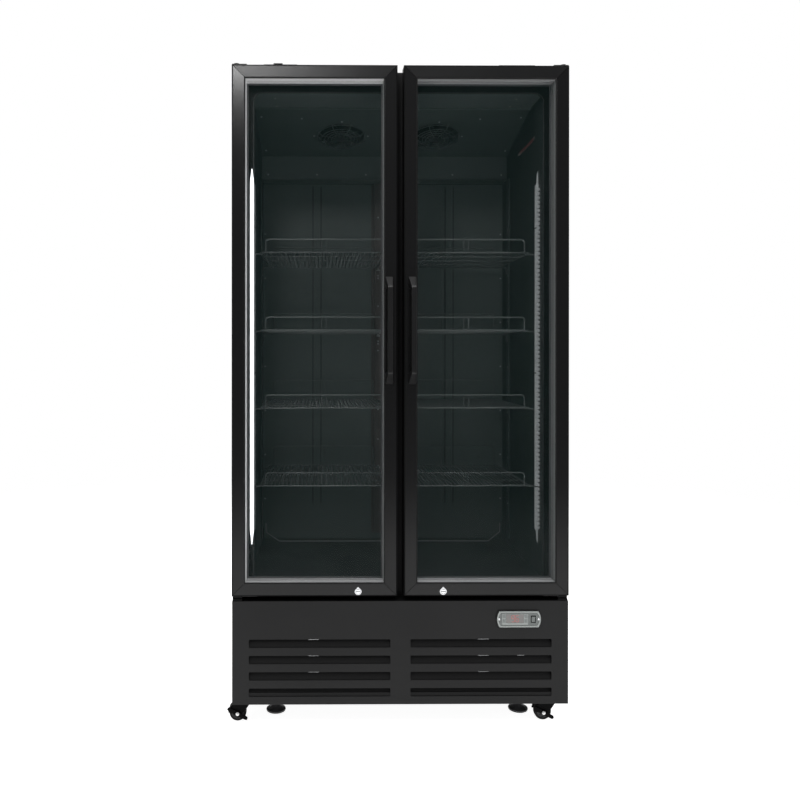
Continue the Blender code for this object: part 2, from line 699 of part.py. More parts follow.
def caster_places():
    """Each caster's x, depth, heading and name. A heading of 1 trails the wheel toward -X."""
    rear_depth = BODY_DEPTH - CASTER_DEPTH
    return ((-FRONT_CASTER_X, CASTER_DEPTH, 1, "front_left"),
            (FRONT_CASTER_X, CASTER_DEPTH, 1, "front_right"),
            (-REAR_CASTER_X, rear_depth, -1, "rear_left"),
            (REAR_CASTER_X, rear_depth, -1, "rear_right"))


def make_casters():
    fork_pattern = fork()
    wheel_pattern = wheel()
    pedal_pattern = pedal()
    for x, depth, heading, word in caster_places():
        turn = (0, 0, 0 if heading > 0 else math.pi)
        hub = (x - heading * CASTER_TRAIL, at(depth), WHEEL_R)
        copy_of(fork_pattern, (x, at(depth), 0), turn, f"caster_fork_{word}", BLACK_STEEL)
        copy_of(wheel_pattern, hub, turn, f"caster_wheel_{word}", RUBBER)
        if word.startswith("front"):
            copy_of(pedal_pattern, hub, turn, f"brake_pedal_{word}", BLACK_PLASTIC)
    for pattern in (fork_pattern, wheel_pattern, pedal_pattern):
        bpy.data.objects.remove(pattern, do_unlink=True)


def copy_of(pattern, location, rotation, name, spec):
    made = bpy.data.objects.new(name, pattern.data.copy())
    bpy.context.scene.collection.objects.link(made)
    place(made, location, rotation)
    return finish(made, name, spec)


def fork():
    """The swivelling fork about its kingpin, with the wheel's axle between its legs."""
    crown = rod(0.019, (0, 0, 0.0585), (0, 0, 0.0637), 16)
    hub = (-CASTER_TRAIL, WHEEL_R)
    leg = [(-0.017, 0.0610), *arc(hub, 0.009, 170, 340, 6), (0.010, 0.046), (0.017, 0.0610)]
    leg_near, leg_far = 0.0125, 0.0150
    for side in (-1, 1):
        plate = flat([leg], leg_far - leg_near)
        plate.data.transform(Matrix.Translation((0, side * (leg_near + leg_far) / 2, 0)) @ ALONG_Y)
        join(crown, plate)
    join(crown, rod(0.004, (hub[0], -0.0205, hub[1]), (hub[0], 0.0165, hub[1]), 12))
    cut(crown, rod(0.0046, (0, 0, 0.05), (0, 0, 0.07), 12))
    return applied(crown)


def wheel():
    """A wheel about its hub, with its axle along Y and one flat of the tread on the floor."""
    half_y, bore_r, tread_r = 0.010, 0.0046, WHEEL_R / math.cos(math.pi / WHEEL_SIDES)
    profile = [(bore_r, half_y), (0.011, half_y), (0.013, half_y - 0.002),
               (tread_r, half_y - 0.003)]
    profile += [(radius, -y) for radius, y in reversed(profile)]
    made = turned(profile + profile[:1], WHEEL_SIDES)
    half_step = math.pi / WHEEL_SIDES
    made.data.transform(Matrix.Rotation(math.radians(90), 4, "X") @ Matrix.Rotation(half_step, 4, "Z"))
    return made


def pedal():
    """The double-ended brake lever about the wheel's axle, on the outer side of the fork."""
    half, end_r, hub_r = 0.034, 0.005, 0.009
    edge = [*arc((half - end_r, 0), end_r, -90, 90, 6), *arc((0, 0), hub_r, 50, 130, 4),
            *arc((-half + end_r, 0), end_r, 90, 270, 6), *arc((0, 0), hub_r, 230, 310, 4)]
    bore = arc((0, 0), 0.0046, 0, 345, 23)
    lever = flat([edge, bore], 0.0035)
    slope = Matrix.Rotation(PEDAL_SLOPE, 4, "Y")
    lever.data.transform(Matrix.Translation((0, -0.0175, 0)) @ slope @ ALONG_Y)
    return lever


def make_levelling_feet():
    """A raised screw foot beside each front caster, which turns down to the floor."""
    profile = [(0.0, 0.100), (0.006, 0.100), (0.006, 0.047), (0.011, 0.045), (0.020, 0.036),
               (FOOT_R - 0.002, 0.034), (FOOT_R, 0.032), (FOOT_R, FOOT_Z + 0.001),
               (FOOT_R - 0.001, FOOT_Z), (0.0, FOOT_Z)]
    pattern = turned(profile, 20)
    for side, word, drop in ((-1, "left", 0.0), (1, "right", RIGHT_FOOT_DROP)):
        where = (side * FOOT_X, at(FOOT_DEPTH), -drop)
        copy_of(pattern, where, (0, 0, 0), f"levelling_foot_{word}", BLACK_PLASTIC)
    bpy.data.objects.remove(pattern, do_unlink=True)


def make_controller():
    """The controller's housing in the base panel and its rocker switch for the lights."""
    half_x, half_z, bow, front = 0.058, 0.0237, 0.007, -0.0015
    edge = [(half_x, -half_z), *bowed_end(half_x, half_z, bow), (half_x, half_z),
            (-half_x, half_z), *[(-x, -z) for x, z in bowed_end(half_x, half_z, bow)],
            (-half_x, -half_z)]
    edge = [(CONTROL_X + x, CONTROL_Z + z) for x, z in edge]
    housing = sheet_along_y([edge], front, PANEL_FRONT - GAP)
    join(housing, box((CONTROL_X - 0.056, at(0.003), CONTROL_Z - 0.017),
                      (CONTROL_X + 0.056, at(0.045), CONTROL_Z + 0.017)))
    pocket_x, pocket_z, pocket_back = 0.0062, 0.0096, 0.012
    cut(housing, box((SWITCH_X - pocket_x, at(-0.01), CONTROL_Z - pocket_z),
                     (SWITCH_X + pocket_x, at(pocket_back), CONTROL_Z + pocket_z)))
    finish(housing, "controller", GREY_PLASTIC)
    rocker = bevel(box((-0.0055, -0.0042, -0.0082), (0.0055, 0.0042, 0.0082)), 0.001, 1)
    rocker = applied(rocker)
    place(rocker, (SWITCH_X, at(0.0030), CONTROL_Z), (math.radians(8), 0, 0))
    finish(rocker, "light_switch", BLACK_PLASTIC)


def bowed_end(half_x, half_z, bow):
    """Points up the right-hand end of the controller, which bulges outward."""
    steps = 6
    points = []
    for i in range(1, steps):
        z = -half_z + 2 * half_z * i / steps
        points.append((half_x + bow * (1 - (z / half_z) ** 2), z))
    return points


def make_cooling_unit():
    """The condenser with its shroud and fan, and the compressor, standing in the tray."""
    low_z, high_z, x0, x1 = BASE_Z + 0.003, 0.360, -0.440, -0.080
    condenser = finned_block((x0, at(0.075), low_z), (x1, at(0.115), high_z), 0.024, 0.010)
    inset = 0.0005
    shroud = box((x0 + inset, at(0.1145), low_z + inset), (x1 - inset, at(0.160), high_z - inset))
    cut(shroud, box((x0 + SHEET, at(0.117), low_z + SHEET), (x1 - SHEET, at(0.158), high_z - SHEET)))
    middle = Vector(((x0 + x1) / 2, at(0.150), (low_z + high_z) / 2))
    reach = Vector((0, 0.022, 0))
    cut(shroud, rod(0.105, middle - reach, middle + reach, 32))
    join(condenser, applied(shroud))
    finish(condenser, "condenser", ALUMINIUM)
    fan = rotor(0.097, 0.028, 0.030, 0.050, 5, math.radians(24))
    place(fan, middle, (math.radians(90), 0, 0))
    finish(fan, "condenser_fan", BLACK_PLASTIC)
    profile = [(0.0, 0.275), (0.030, 0.273), (0.060, 0.262), (0.080, 0.238), (0.086, 0.200),
               (0.086, 0.140), (0.078, 0.105), (0.060, 0.088), (0.050, 0.079), (0.0, 0.079)]
    compressor = turned(profile, 24)
    compressor.location = (0.240, at(0.400), 0)
    bpy.context.view_layer.update()
    join(compressor, box((0.140, at(0.320), BASE_Z + 0.003), (0.340, at(0.480), BASE_Z + 0.007)))
    finish(compressor, "compressor", BLACK_STEEL, smooth=True)


clear_scene()
PARTS = new_collection("glass_door_merchandiser")
CUTTERS = new_collection("cutters")
make_side_skins()
make_insulated_walls()
make_front_frame()
make_duct_panel()
make_shelf_supports()
make_evaporator()
make_lights()
make_shelves()
make_door(-1, "left")
make_door(1, "right")
make_hinges()
make_front_panel()
make_rear_grille()
make_base_tray()
make_casters()
make_levelling_feet()
make_controller()
make_cooling_unit()
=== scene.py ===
"""Glass door merchandiser: the looks of an upright two-door display refrigerator.

Metres, +Z up. The doors face -Y and +X is to the right as seen from the front. Places come from
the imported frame. What is alike on both sides is made on the +X side and mirrored.
"""
import math

import bmesh
import bpy
from mathutils import Matrix, Vector


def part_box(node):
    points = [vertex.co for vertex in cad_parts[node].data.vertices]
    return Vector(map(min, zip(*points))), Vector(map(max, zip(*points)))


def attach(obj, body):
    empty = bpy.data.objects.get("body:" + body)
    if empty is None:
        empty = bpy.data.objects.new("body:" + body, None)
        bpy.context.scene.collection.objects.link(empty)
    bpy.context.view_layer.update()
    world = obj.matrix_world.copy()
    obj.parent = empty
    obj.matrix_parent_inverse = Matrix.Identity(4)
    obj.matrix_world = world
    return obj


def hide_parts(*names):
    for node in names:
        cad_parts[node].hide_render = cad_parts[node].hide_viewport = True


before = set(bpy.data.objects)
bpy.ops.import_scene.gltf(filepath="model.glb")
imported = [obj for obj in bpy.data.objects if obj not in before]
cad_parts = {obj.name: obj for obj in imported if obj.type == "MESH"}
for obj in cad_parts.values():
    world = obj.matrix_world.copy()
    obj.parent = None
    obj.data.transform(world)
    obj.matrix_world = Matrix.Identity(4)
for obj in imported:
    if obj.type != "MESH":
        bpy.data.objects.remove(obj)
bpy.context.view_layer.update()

SIDES = (("left", -1), ("right", 1))
DOOR_LOW, DOOR_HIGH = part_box("door_frame_right")
FRONT_Y = DOOR_LOW.y
DOOR_DEPTH = DOOR_HIGH.y - FRONT_Y
SCREW_R = 0.0036
FROM_FRONT = Matrix.Translation((0, FRONT_Y, 0))
FINISHES = {}


def at(depth):
    """The y of a point that lies this deep behind the front of the doors."""
    return FRONT_Y + depth


def depth_of(y):
    return y - FRONT_Y


# ---- Finishes ----------------------------------------------------------------------------
def add_node(nodes, kind, values):
    """A new shader node with these values on its own sockets."""
    node = nodes.new(f"ShaderNode{kind}")
    for socket, value in values.items():
        node.inputs[socket].default_value = value
    return node


def new_material(name, values):
    """A node material, its tree's nodes and links, and its shader with these values."""
    made = bpy.data.materials.new(name)
    made.use_nodes = True
    nodes, links = made.node_tree.nodes, made.node_tree.links
    shader = nodes["Principled BSDF"]
    for socket, value in values.items():
        shader.inputs[socket].default_value = value
    return made, nodes, links, shader


def finish(name, slot, colour, rough, metal=0.0, mottle=0.10, grain=700.0, bump=0.05,
           stretch=(1, 1, 1), smudge=0.12, **sockets):
    """A surface with fine grain in its height and colour, and broad patches in its gloss."""
    values = {SOCKETS[socket]: value for socket, value in sockets.items()}
    made, nodes, links, shader = new_material(name, {"Metallic": metal, **values})
    low, high = 0.3, 0.7
    coordinates = add_node(nodes, "TexCoord", {})
    mapping = add_node(nodes, "Mapping", {"Scale": stretch})
    fine = add_node(nodes, "TexNoise", {"Scale": grain, "Detail": 3.0})
    broad = add_node(nodes, "TexNoise", {"Scale": 5.0, "Detail": 4.0})
    gloss = add_node(nodes, "MapRange", {"From Min": low, "From Max": high,
                                         "To Min": rough * (1 - smudge),
                                         "To Max": rough * (1 + smudge)})
    relief = add_node(nodes, "Bump", {"Strength": bump, "Distance": 0.0004})
    tint = add_node(nodes, "ValToRGB", {})
    for stop, place, share in zip(tint.color_ramp.elements, (low, high), (1 - mottle, 1 + mottle)):
        stop.color = (*[channel * share for channel in colour], 1.0)
        stop.position = place
    for output, socket in ((coordinates.outputs["Object"], mapping.inputs["Vector"]),
                           (mapping.outputs["Vector"], fine.inputs["Vector"]),
                           (coordinates.outputs["Object"], broad.inputs["Vector"]),
                           (fine.outputs["Fac"], tint.inputs["Fac"]),
                           (tint.outputs["Color"], shader.inputs["Base Color"]),
                           (broad.outputs["Fac"], gloss.inputs["Value"]),
                           (gloss.outputs["Result"], shader.inputs["Roughness"]),
                           (fine.outputs["Fac"], relief.inputs["Height"]),
                           (relief.outputs["Normal"], shader.inputs["Normal"])):
        links.new(output, socket)
    FINISHES[name] = (made, slot)


SOCKETS = {"alpha": "Alpha", "specular": "Specular IOR Level", "coat": "Coat Weight",
           "coat_rough": "Coat Roughness", "glow": "Emission Strength",
           "glow_colour": "Emission Color"}


def make_finishes():
    finish("powder_coat", "black_steel", (0.0070, 0.0070, 0.0072), 0.42, grain=520, bump=0.10,
           specular=0.22)
    finish("profile_upright", "black_aluminium", (0.0048, 0.0048, 0.0050), 0.20, grain=260,
           stretch=(9, 9, 0.4), specular=0.26)
    finish("profile_level", "black_aluminium", (0.0058, 0.0058, 0.0060), 0.30, grain=260,
           stretch=(0.4, 9, 9), specular=0.31)
    # A darker copy of the profile black: painted shade on the doors' rounded edges; stay plates and
    # hinge caps share it.
    finish("profile_edge", "black_aluminium", (0.0015, 0.0015, 0.0016), 0.60, specular=0.10)
    finish("frame_black", "black_plastic", (0.0042, 0.0042, 0.0044), 0.48, grain=500,
           specular=0.16)
    finish("liner", "cabinet_liner", (0.048, 0.061, 0.059), 0.50, grain=420)
    finish("liner_floor", "cabinet_liner", (0.017, 0.022, 0.021), 0.50, grain=420)
    finish("liner_panel", "cabinet_liner", (0.126, 0.150, 0.148), 0.48, grain=420)
    finish("liner_cover", "cabinet_liner", (0.080, 0.098, 0.096), 0.48, grain=420)
    finish("liner_post", "cabinet_liner", (0.120, 0.108, 0.106), 0.46, grain=500)
    finish("moulded_black", "black_plastic", (0.0055, 0.0055, 0.0058), 0.34, grain=900, bump=0.08,
           specular=0.30)
    # Darker than the powder coat: painted shade on the louvre blades and base tray inside the
    # slots.
    finish("louvre_painted_shade", "black_steel", (0.0042, 0.0042, 0.0043), 0.55, grain=600, bump=0.08,
           specular=0.18)
    finish("moulded_grey", "black_plastic", (0.040, 0.040, 0.042), 0.45, grain=900, bump=0.06)
    finish("flange_grey", "black_plastic", (0.115, 0.115, 0.120), 0.40, grain=900)
    finish("pane_tinted", "tinted_glass", (0.004, 0.010, 0.0095), 0.03, mottle=0.04, grain=3,
           bump=0.0, smudge=0.30, alpha=0.17, specular=0.18)
    finish("pane_clear", "tinted_glass", (0.02, 0.045, 0.042), 0.03, mottle=0.04, grain=3,
           bump=0.0, smudge=0.30, alpha=0.05, specular=0.25)
    # spacer_lit and spacer_dim are lighter and darker copies of spacer_bright: painted highlight
    # with a faint glow, and painted shade.
    finish("spacer_bright", "bright_steel", (0.68, 0.68, 0.69), 0.36, 0.25, mottle=0.05, grain=300,
           bump=0.03)
    finish("spacer_lit", "bright_steel", (0.95, 0.95, 0.96), 0.36, 0.0, mottle=0.05, grain=300,
           bump=0.03, glow=0.16, glow_colour=(1.0, 1.0, 1.0, 1.0))
    finish("spacer_dim", "bright_steel", (0.30, 0.31, 0.31), 0.36, 0.2, mottle=0.05, grain=300,
           bump=0.03)
    finish("rubber", "gasket_rubber", (0.0060, 0.0060, 0.0061), 0.62, grain=1100, bump=0.10,
           specular=0.25)
    finish("zinc", "bright_steel", (0.66, 0.67, 0.68), 0.26, 1.0, grain=240, bump=0.06,
           mottle=0.14)
    finish("chrome", "bright_steel", (0.82, 0.83, 0.84), 0.12, 1.0, grain=500, bump=0.01)
    # Near-white and barely metallic: painted reflection in place of the chrome axle cap's white
    # shine.
    finish("cap_painted_reflection", "bright_steel", (0.93, 0.93, 0.93), 0.22, 0.10, mottle=0.03, grain=500,
           bump=0.01)
    finish("screw_dull", "coated_wire", (0.42, 0.45, 0.45), 0.34, 0.35)
    finish("channel_grey", "light_lens", (0.060, 0.066, 0.066), 0.45, grain=600, bump=0.04)
    finish("fins", "fin_aluminium", (0.60, 0.61, 0.62), 0.38, 0.9, grain=200, stretch=(12, 1, 0.5),
           bump=0.08)
    # A strong glow on the strip beside the left lamp: painted highlight.
    finish("painted_highlight_glow", "light_lens", (0.86, 0.89, 0.90), 0.35, mottle=0.03, grain=400, glow=3.2,
           glow_colour=(0.93, 0.97, 1.0, 1.0))
    finish("lens_dim", "light_lens", (0.50, 0.53, 0.53), 0.35, mottle=0.03, grain=400, glow=0.09,
           glow_colour=(0.93, 0.97, 1.0, 1.0))
    finish("bezel", "grey_plastic", (0.105, 0.118, 0.113), 0.26, mottle=0.06, grain=800, coat=0.4,
           coat_rough=0.12)
    finish("bezel_light", "grey_plastic", (0.27, 0.29, 0.28), 0.24, mottle=0.05, grain=800,
           coat=0.4, coat_rough=0.12)
    finish("key_grey", "grey_plastic", (0.170, 0.185, 0.180), 0.30, mottle=0.05, grain=800)
    finish("display", "black_plastic", (0.150, 0.140, 0.135), 0.16, mottle=0.08, grain=500,
           bump=0.02, coat=0.5, coat_rough=0.05)
    finish("digits", "grey_plastic", (0.36, 0.110, 0.100), 0.30, mottle=0.08, grain=900, glow=0.04,
           glow_colour=(1.0, 0.10, 0.07, 1.0))
    finish("wire_coat", "coated_wire", (0.135, 0.150, 0.150), 0.38, 0.10, grain=900)
    finish("caster_coat", "caster_steel", (0.0022, 0.0022, 0.0024), 0.60, grain=600, bump=0.08,
           specular=0.06)
    finish("tread", "caster_tread", (0.0070, 0.0070, 0.0070), 0.70, bump=0.18, specular=0.20)
    finish("enamel", "compressor_steel", (0.012, 0.012, 0.013), 0.26, grain=160, bump=0.08)
    finish("copper", "bright_steel", (0.72, 0.34, 0.19), 0.32, 1.0, grain=300, mottle=0.2)
    finish("probe_red", "black_plastic", (0.185, 0.070, 0.078), 0.42, grain=900)


# ---- Tools -------------------------------------------------------------------------------
def around(radius, steps, start=0.0, sweep=360.0):
    """Points on a circle, or on an arc of it with both its ends."""
    count = steps if sweep == 360.0 else steps + 1
    turns = [math.radians(start + sweep * i / steps) for i in range(count)]
    return [(radius * math.cos(turn), radius * math.sin(turn)) for turn in turns]


def rounded_rectangle(low, high, radius, steps=6):
    (x0, y0), (x1, y1) = low, high
    points = []
    for x, y, start in ((x1 - radius, y0 + radius, -90), (x1 - radius, y1 - radius, 0),
                        (x0 + radius, y1 - radius, 90), (x0 + radius, y0 + radius, 180)):
        points += [(x + dx, y + dy) for dx, dy in around(radius, steps, start, 90.0)]
    return points


def ribbon(path, thickness):
    """The outline of a bent sheet seen from its end."""
    path = [Vector(point) for point in path]
    sides = ([], [])
    for i, here in enumerate(path):
        before = (here - path[i - 1]).normalized() if i > 0 else None
        after = (path[i + 1] - here).normalized() if i + 1 < len(path) else None
        first, second = before or after, after or before
        across = Vector((-(first.y + second.y), first.x + second.x)).normalized()
        reach = thickness / 2 / across.dot(Vector((-first.y, first.x)))
        sides[0].append(here + across * reach)
        sides[1].append(here - across * reach)
    return [tuple(point) for point in sides[0] + sides[1][::-1]]


def soften(part, edges, width, steps=2):
    bmesh.ops.bevel(part, geom=list(edges), offset=width, offset_type="OFFSET", segments=steps,
                    profile=0.5, affect="EDGES", clamp_overlap=True)


FACING = {"X": Matrix(((0, 0, 1, 0), (1, 0, 0, 0), (0, 1, 0, 0), (0, 0, 0, 1))),
          "Y": Matrix(((1, 0, 0, 0), (0, 0, 1, 0), (0, 1, 0, 0), (0, 0, 0, 1))),
          "Z": Matrix.Identity(4)}


class Shape:
    """A mesh put together from closed parts."""

    def __init__(self):
        self.mesh = bmesh.new()

    def add(self, part, matrix=None):
        if matrix is not None:
            part.transform(matrix)
        copy = bpy.data.meshes.new("part")
        part.to_mesh(copy)
        part.free()
        self.mesh.from_mesh(copy)
        bpy.data.meshes.remove(copy)

    def box(self, low, high, edge=0.0, steps=2, matrix=None):
        low, high = Vector(low), Vector(high)
        part = bmesh.new()
        bmesh.ops.create_cube(part, size=1)
        part.transform(Matrix.Translation((low + high) / 2) @ Matrix.Diagonal((*(high - low), 1)))
        if edge:
            soften(part, part.edges, edge, steps)
        self.add(part, matrix)

    def rod(self, start, end, radius, end_radius=None, sides=24, edge=0.0):
        start, end = Vector(start), Vector(end)
        along = end - start
        part = bmesh.new()
        bmesh.ops.create_cone(part, cap_ends=True, segments=sides, radius1=radius,
                              radius2=radius if end_radius is None else end_radius,
                              depth=along.length)
        if edge:
            rims = [rim for rim in part.edges if abs(rim.verts[0].co.z - rim.verts[1].co.z) < 1e-6]
            soften(part, rims, edge)
        turn = along.to_track_quat("Z", "Y").to_matrix().to_4x4()
        self.add(part, Matrix.Translation((start + end) / 2) @ turn)

    def loft(self, rings, cyclic=False, matrix=None):
        """Skin over rings of points. A ring of one point is a tip."""
        part = bmesh.new()
        made = [[part.verts.new(point) for point in ring] for ring in rings]
        for first, second in zip(made, made[1:] + made[:1] if cyclic else made[1:]):
            count = max(len(first), len(second))
            for i in range(count):
                j = (i + 1) % count
                if len(first) == 1:
                    part.faces.new((first[0], second[j], second[i]))
                elif len(second) == 1:
                    part.faces.new((first[i], first[j], second[0]))
                else:
                    part.faces.new((first[i], first[j], second[j], second[i]))
        if not cyclic:
            for cap in (made[0], made[-1]):
                if len(cap) > 1:
                    part.faces.new(cap)
        self.add(part, matrix)

    def turned(self, profile, place=(0, 0, 0), axis=(0, 0, 1), steps=48):
        """A turned solid: (radius, height) points. One that stays off the axis is a ring."""
        rings = [[(0, 0, height)] if radius == 0 else
                 [(x, y, height) for x, y in around(radius, steps)] for radius, height in profile]
        turn = Vector(axis).to_track_quat("Z", "Y").to_matrix().to_4x4()
        hollow = profile[0][0] > 0 and profile[-1][0] > 0
        self.loft(rings, hollow, Matrix.Translation(place) @ turn)

    def tube(self, points, radius, sides=8, cyclic=False):
        points = [Vector(point) for point in points]
        rings, normal = [], None
        for i, here in enumerate(points):
            before = points[i - 1] if i > 0 or cyclic else here
            after = points[(i + 1) % len(points)] if i + 1 < len(points) or cyclic else here
            along = (after - before).normalized()
            normal = normal or along.orthogonal()
            normal = (normal - along * normal.dot(along)).normalized()
            across = along.cross(normal)
            rings.append([here + normal * x + across * y for x, y in around(radius, sides)])
        self.loft(rings, cyclic)

    def plate(self, outlines, low, high, edge=0.0, facing="Y", matrix=None):
        """A plate between two levels along an axis: its first outline is its rim and the
        others are holes. The outlines are in (y, z), (x, z) or (x, y)."""
        curve = bpy.data.curves.new("outline", "CURVE")
        curve.dimensions = "2D"
        curve.fill_mode = "BOTH"
        curve.extrude = (high - low) / 2 - edge
        curve.bevel_depth = edge
        curve.bevel_resolution = 1
        curve.offset = -edge
        for outline in outlines:
            spline = curve.splines.new("POLY")
            spline.points.add(len(outline) - 1)
            for point, (x, y) in zip(spline.points, outline):
                point.co = (x, y, 0.0, 1.0)
            spline.use_cyclic_u = True
        holder = bpy.data.objects.new("outline", curve)
        mesh = bpy.data.meshes.new_from_object(holder)
        bpy.data.objects.remove(holder)
        part = bmesh.new()
        part.from_mesh(mesh)
        bpy.data.meshes.remove(mesh)
        bmesh.ops.remove_doubles(part, verts=part.verts, dist=1e-6)
        part.transform(FACING[facing] @ Matrix.Translation((0, 0, (low + high) / 2)))
        self.add(part, matrix)

    def screw(self, place, normal, radius=SCREW_R):
        """A pan head with a sunk socket."""
        head = ((0.0, 0.30), (0.26, 0.30), (0.34, 0.60), (0.78, 0.44), (1.0, 0.14), (1.0, 0.0),
                (0.0, 0.0))
        self.turned([(r * radius, h * radius) for r, h in head], place, normal, 14)

    def built(self, name, side=1, sharp=35):
        if side < 0:
            self.mesh.transform(Matrix.Diagonal((-1, 1, 1, 1)))
        bmesh.ops.recalc_face_normals(self.mesh, faces=self.mesh.faces)
        mesh = bpy.data.meshes.new(name)
        self.mesh.to_mesh(mesh)
        self.mesh.free()
        mesh.shade_smooth()
        mesh.set_sharp_from_angle(angle=math.radians(sharp))
        return mesh

    def piece(self, name, look, body="cabinet", side=1, replaces=(), sharp=35):
        return show(name, self.built(name, side, sharp), look, body, replaces)


def show(name, mesh, look, body, replaces=()):
    """Put a mesh in the scene on its body, with its finish."""
    material, slot = FINISHES[look]
    if not mesh.materials:
        mesh.materials.append(material)
    obj = bpy.data.objects.new(name, mesh)
    bpy.context.scene.collection.objects.link(obj)
    normals = obj.modifiers.new("Normals", "WEIGHTED_NORMAL")
    normals.keep_sharp = True
    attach(obj, body)
    if replaces:
        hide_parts(*replaces)
    return obj


def dress(node, look, edge=0.0):
    """Give a CAD node its finish, and soft edges where a width is given."""
    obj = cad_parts[node]
    obj.data.materials.clear()
    obj.data.materials.append(FINISHES[look][0])
    if edge:
        weld = obj.modifiers.new("Weld", "WELD")
        weld.merge_threshold = 0.00001
        flatten = obj.modifiers.new("Flatten", "DECIMATE")
        flatten.decimate_type = "DISSOLVE"
        flatten.angle_limit = math.radians(0.5)
        soft = obj.modifiers.new("Soft edges", "BEVEL")
        soft.width = edge
        soft.segments = 2
        soft.limit_method = "ANGLE"
        soft.angle_limit = math.radians(40)
        obj.modifiers.new("Normals", "WEIGHTED_NORMAL").keep_sharp = True


def limits(node):
    """The x and z limits of a node on the +X side."""
    low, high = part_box(node)
    return low.x, high.x, low.z, high.z


def corner(span, k, inset, depth):
    """A point in one of the four corners of a span, drawn in by an inset."""
    x0, x1, z0, z1 = span
    x = x0 + inset if k in (0, 3) else x1 - inset
    z = z0 + inset if k in (0, 1) else z1 - inset
    return Vector((x, at(depth), z))


def surround(shape, span, section):
    """A closed rectangular ring whose section is in (inset, depth)."""
    shape.loft([[corner(span, k, *point) for point in section] for k in range(4)], cyclic=True)


def mitred(shape, span, section, members, gap=0.00012, chamfer=0.0006):
    """Lengths of profile cut at 45 degrees, with a fine chamfer at each joint."""
    lowest = min(depth for _, depth in section)
    cut_back = [(max(inset, chamfer), max(depth, lowest + chamfer)) for inset, depth in section]
    for k in members:
        after = (k + 1) % 4
        along = (corner(span, after, 0, 0) - corner(span, k, 0, 0)).normalized()
        rings = []
        for shift, outline in ((gap, cut_back), (gap + chamfer, section)):
            rings.append([corner(span, k, *point) + along * shift for point in outline])
        for shift, outline in ((gap + chamfer, section), (gap, cut_back)):
            rings.append([corner(span, after, *point) - along * shift for point in outline])
        shape.loft(rings)


# ---- Doors -------------------------------------------------------------------------------
GLASS_INSET = 0.0303
OPENING = 0.040               # the visible width of a door's stiles and rails
EDGE_R = 0.0035
PANE = 0.004
GLASS_LOW, GLASS_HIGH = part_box("door_glass_right")
GLASS_FRONT, GLASS_BACK = depth_of(GLASS_LOW.y), depth_of(GLASS_HIGH.y)


def door_section():
    """A stile's or rail's section in (inset, depth), inside the edge strip."""
    outer = [(EDGE_R + 0.0001, 0.0006), (EDGE_R + 0.0006, 0.0)]
    lip, lip_r = OPENING - 0.0030, 0.0008
    inner = [(lip - lip_r + x, lip_r - y) for x, y in around(lip_r, 3, 90, -90)]
    front, back = GLASS_FRONT - 0.0003, GLASS_BACK + 0.0003
    groove = GLASS_INSET - 0.0003
    return [(EDGE_R + 0.0001, DOOR_DEPTH), *outer, *inner, (lip, front), (groove, front),
            (groove, back), (OPENING - 0.0008, back), (OPENING - 0.0008, DOOR_DEPTH - 0.0008),
            (OPENING - 0.0016, DOOR_DEPTH)]


def ridged(low_inset, face, front, back, rib=0.0006, land=0.0035):
    """The section of a strip with a raised line along both of its edges."""
    return [(low_inset, front), (face - rib / 2, front), (face, front + rib / 2),
            (face, front + land), (face - rib, front + land + rib),
            (face - rib, back - land - rib), (face, back - land), (face, back - rib / 2),
            (face - rib / 2, back), (low_inset, back)]


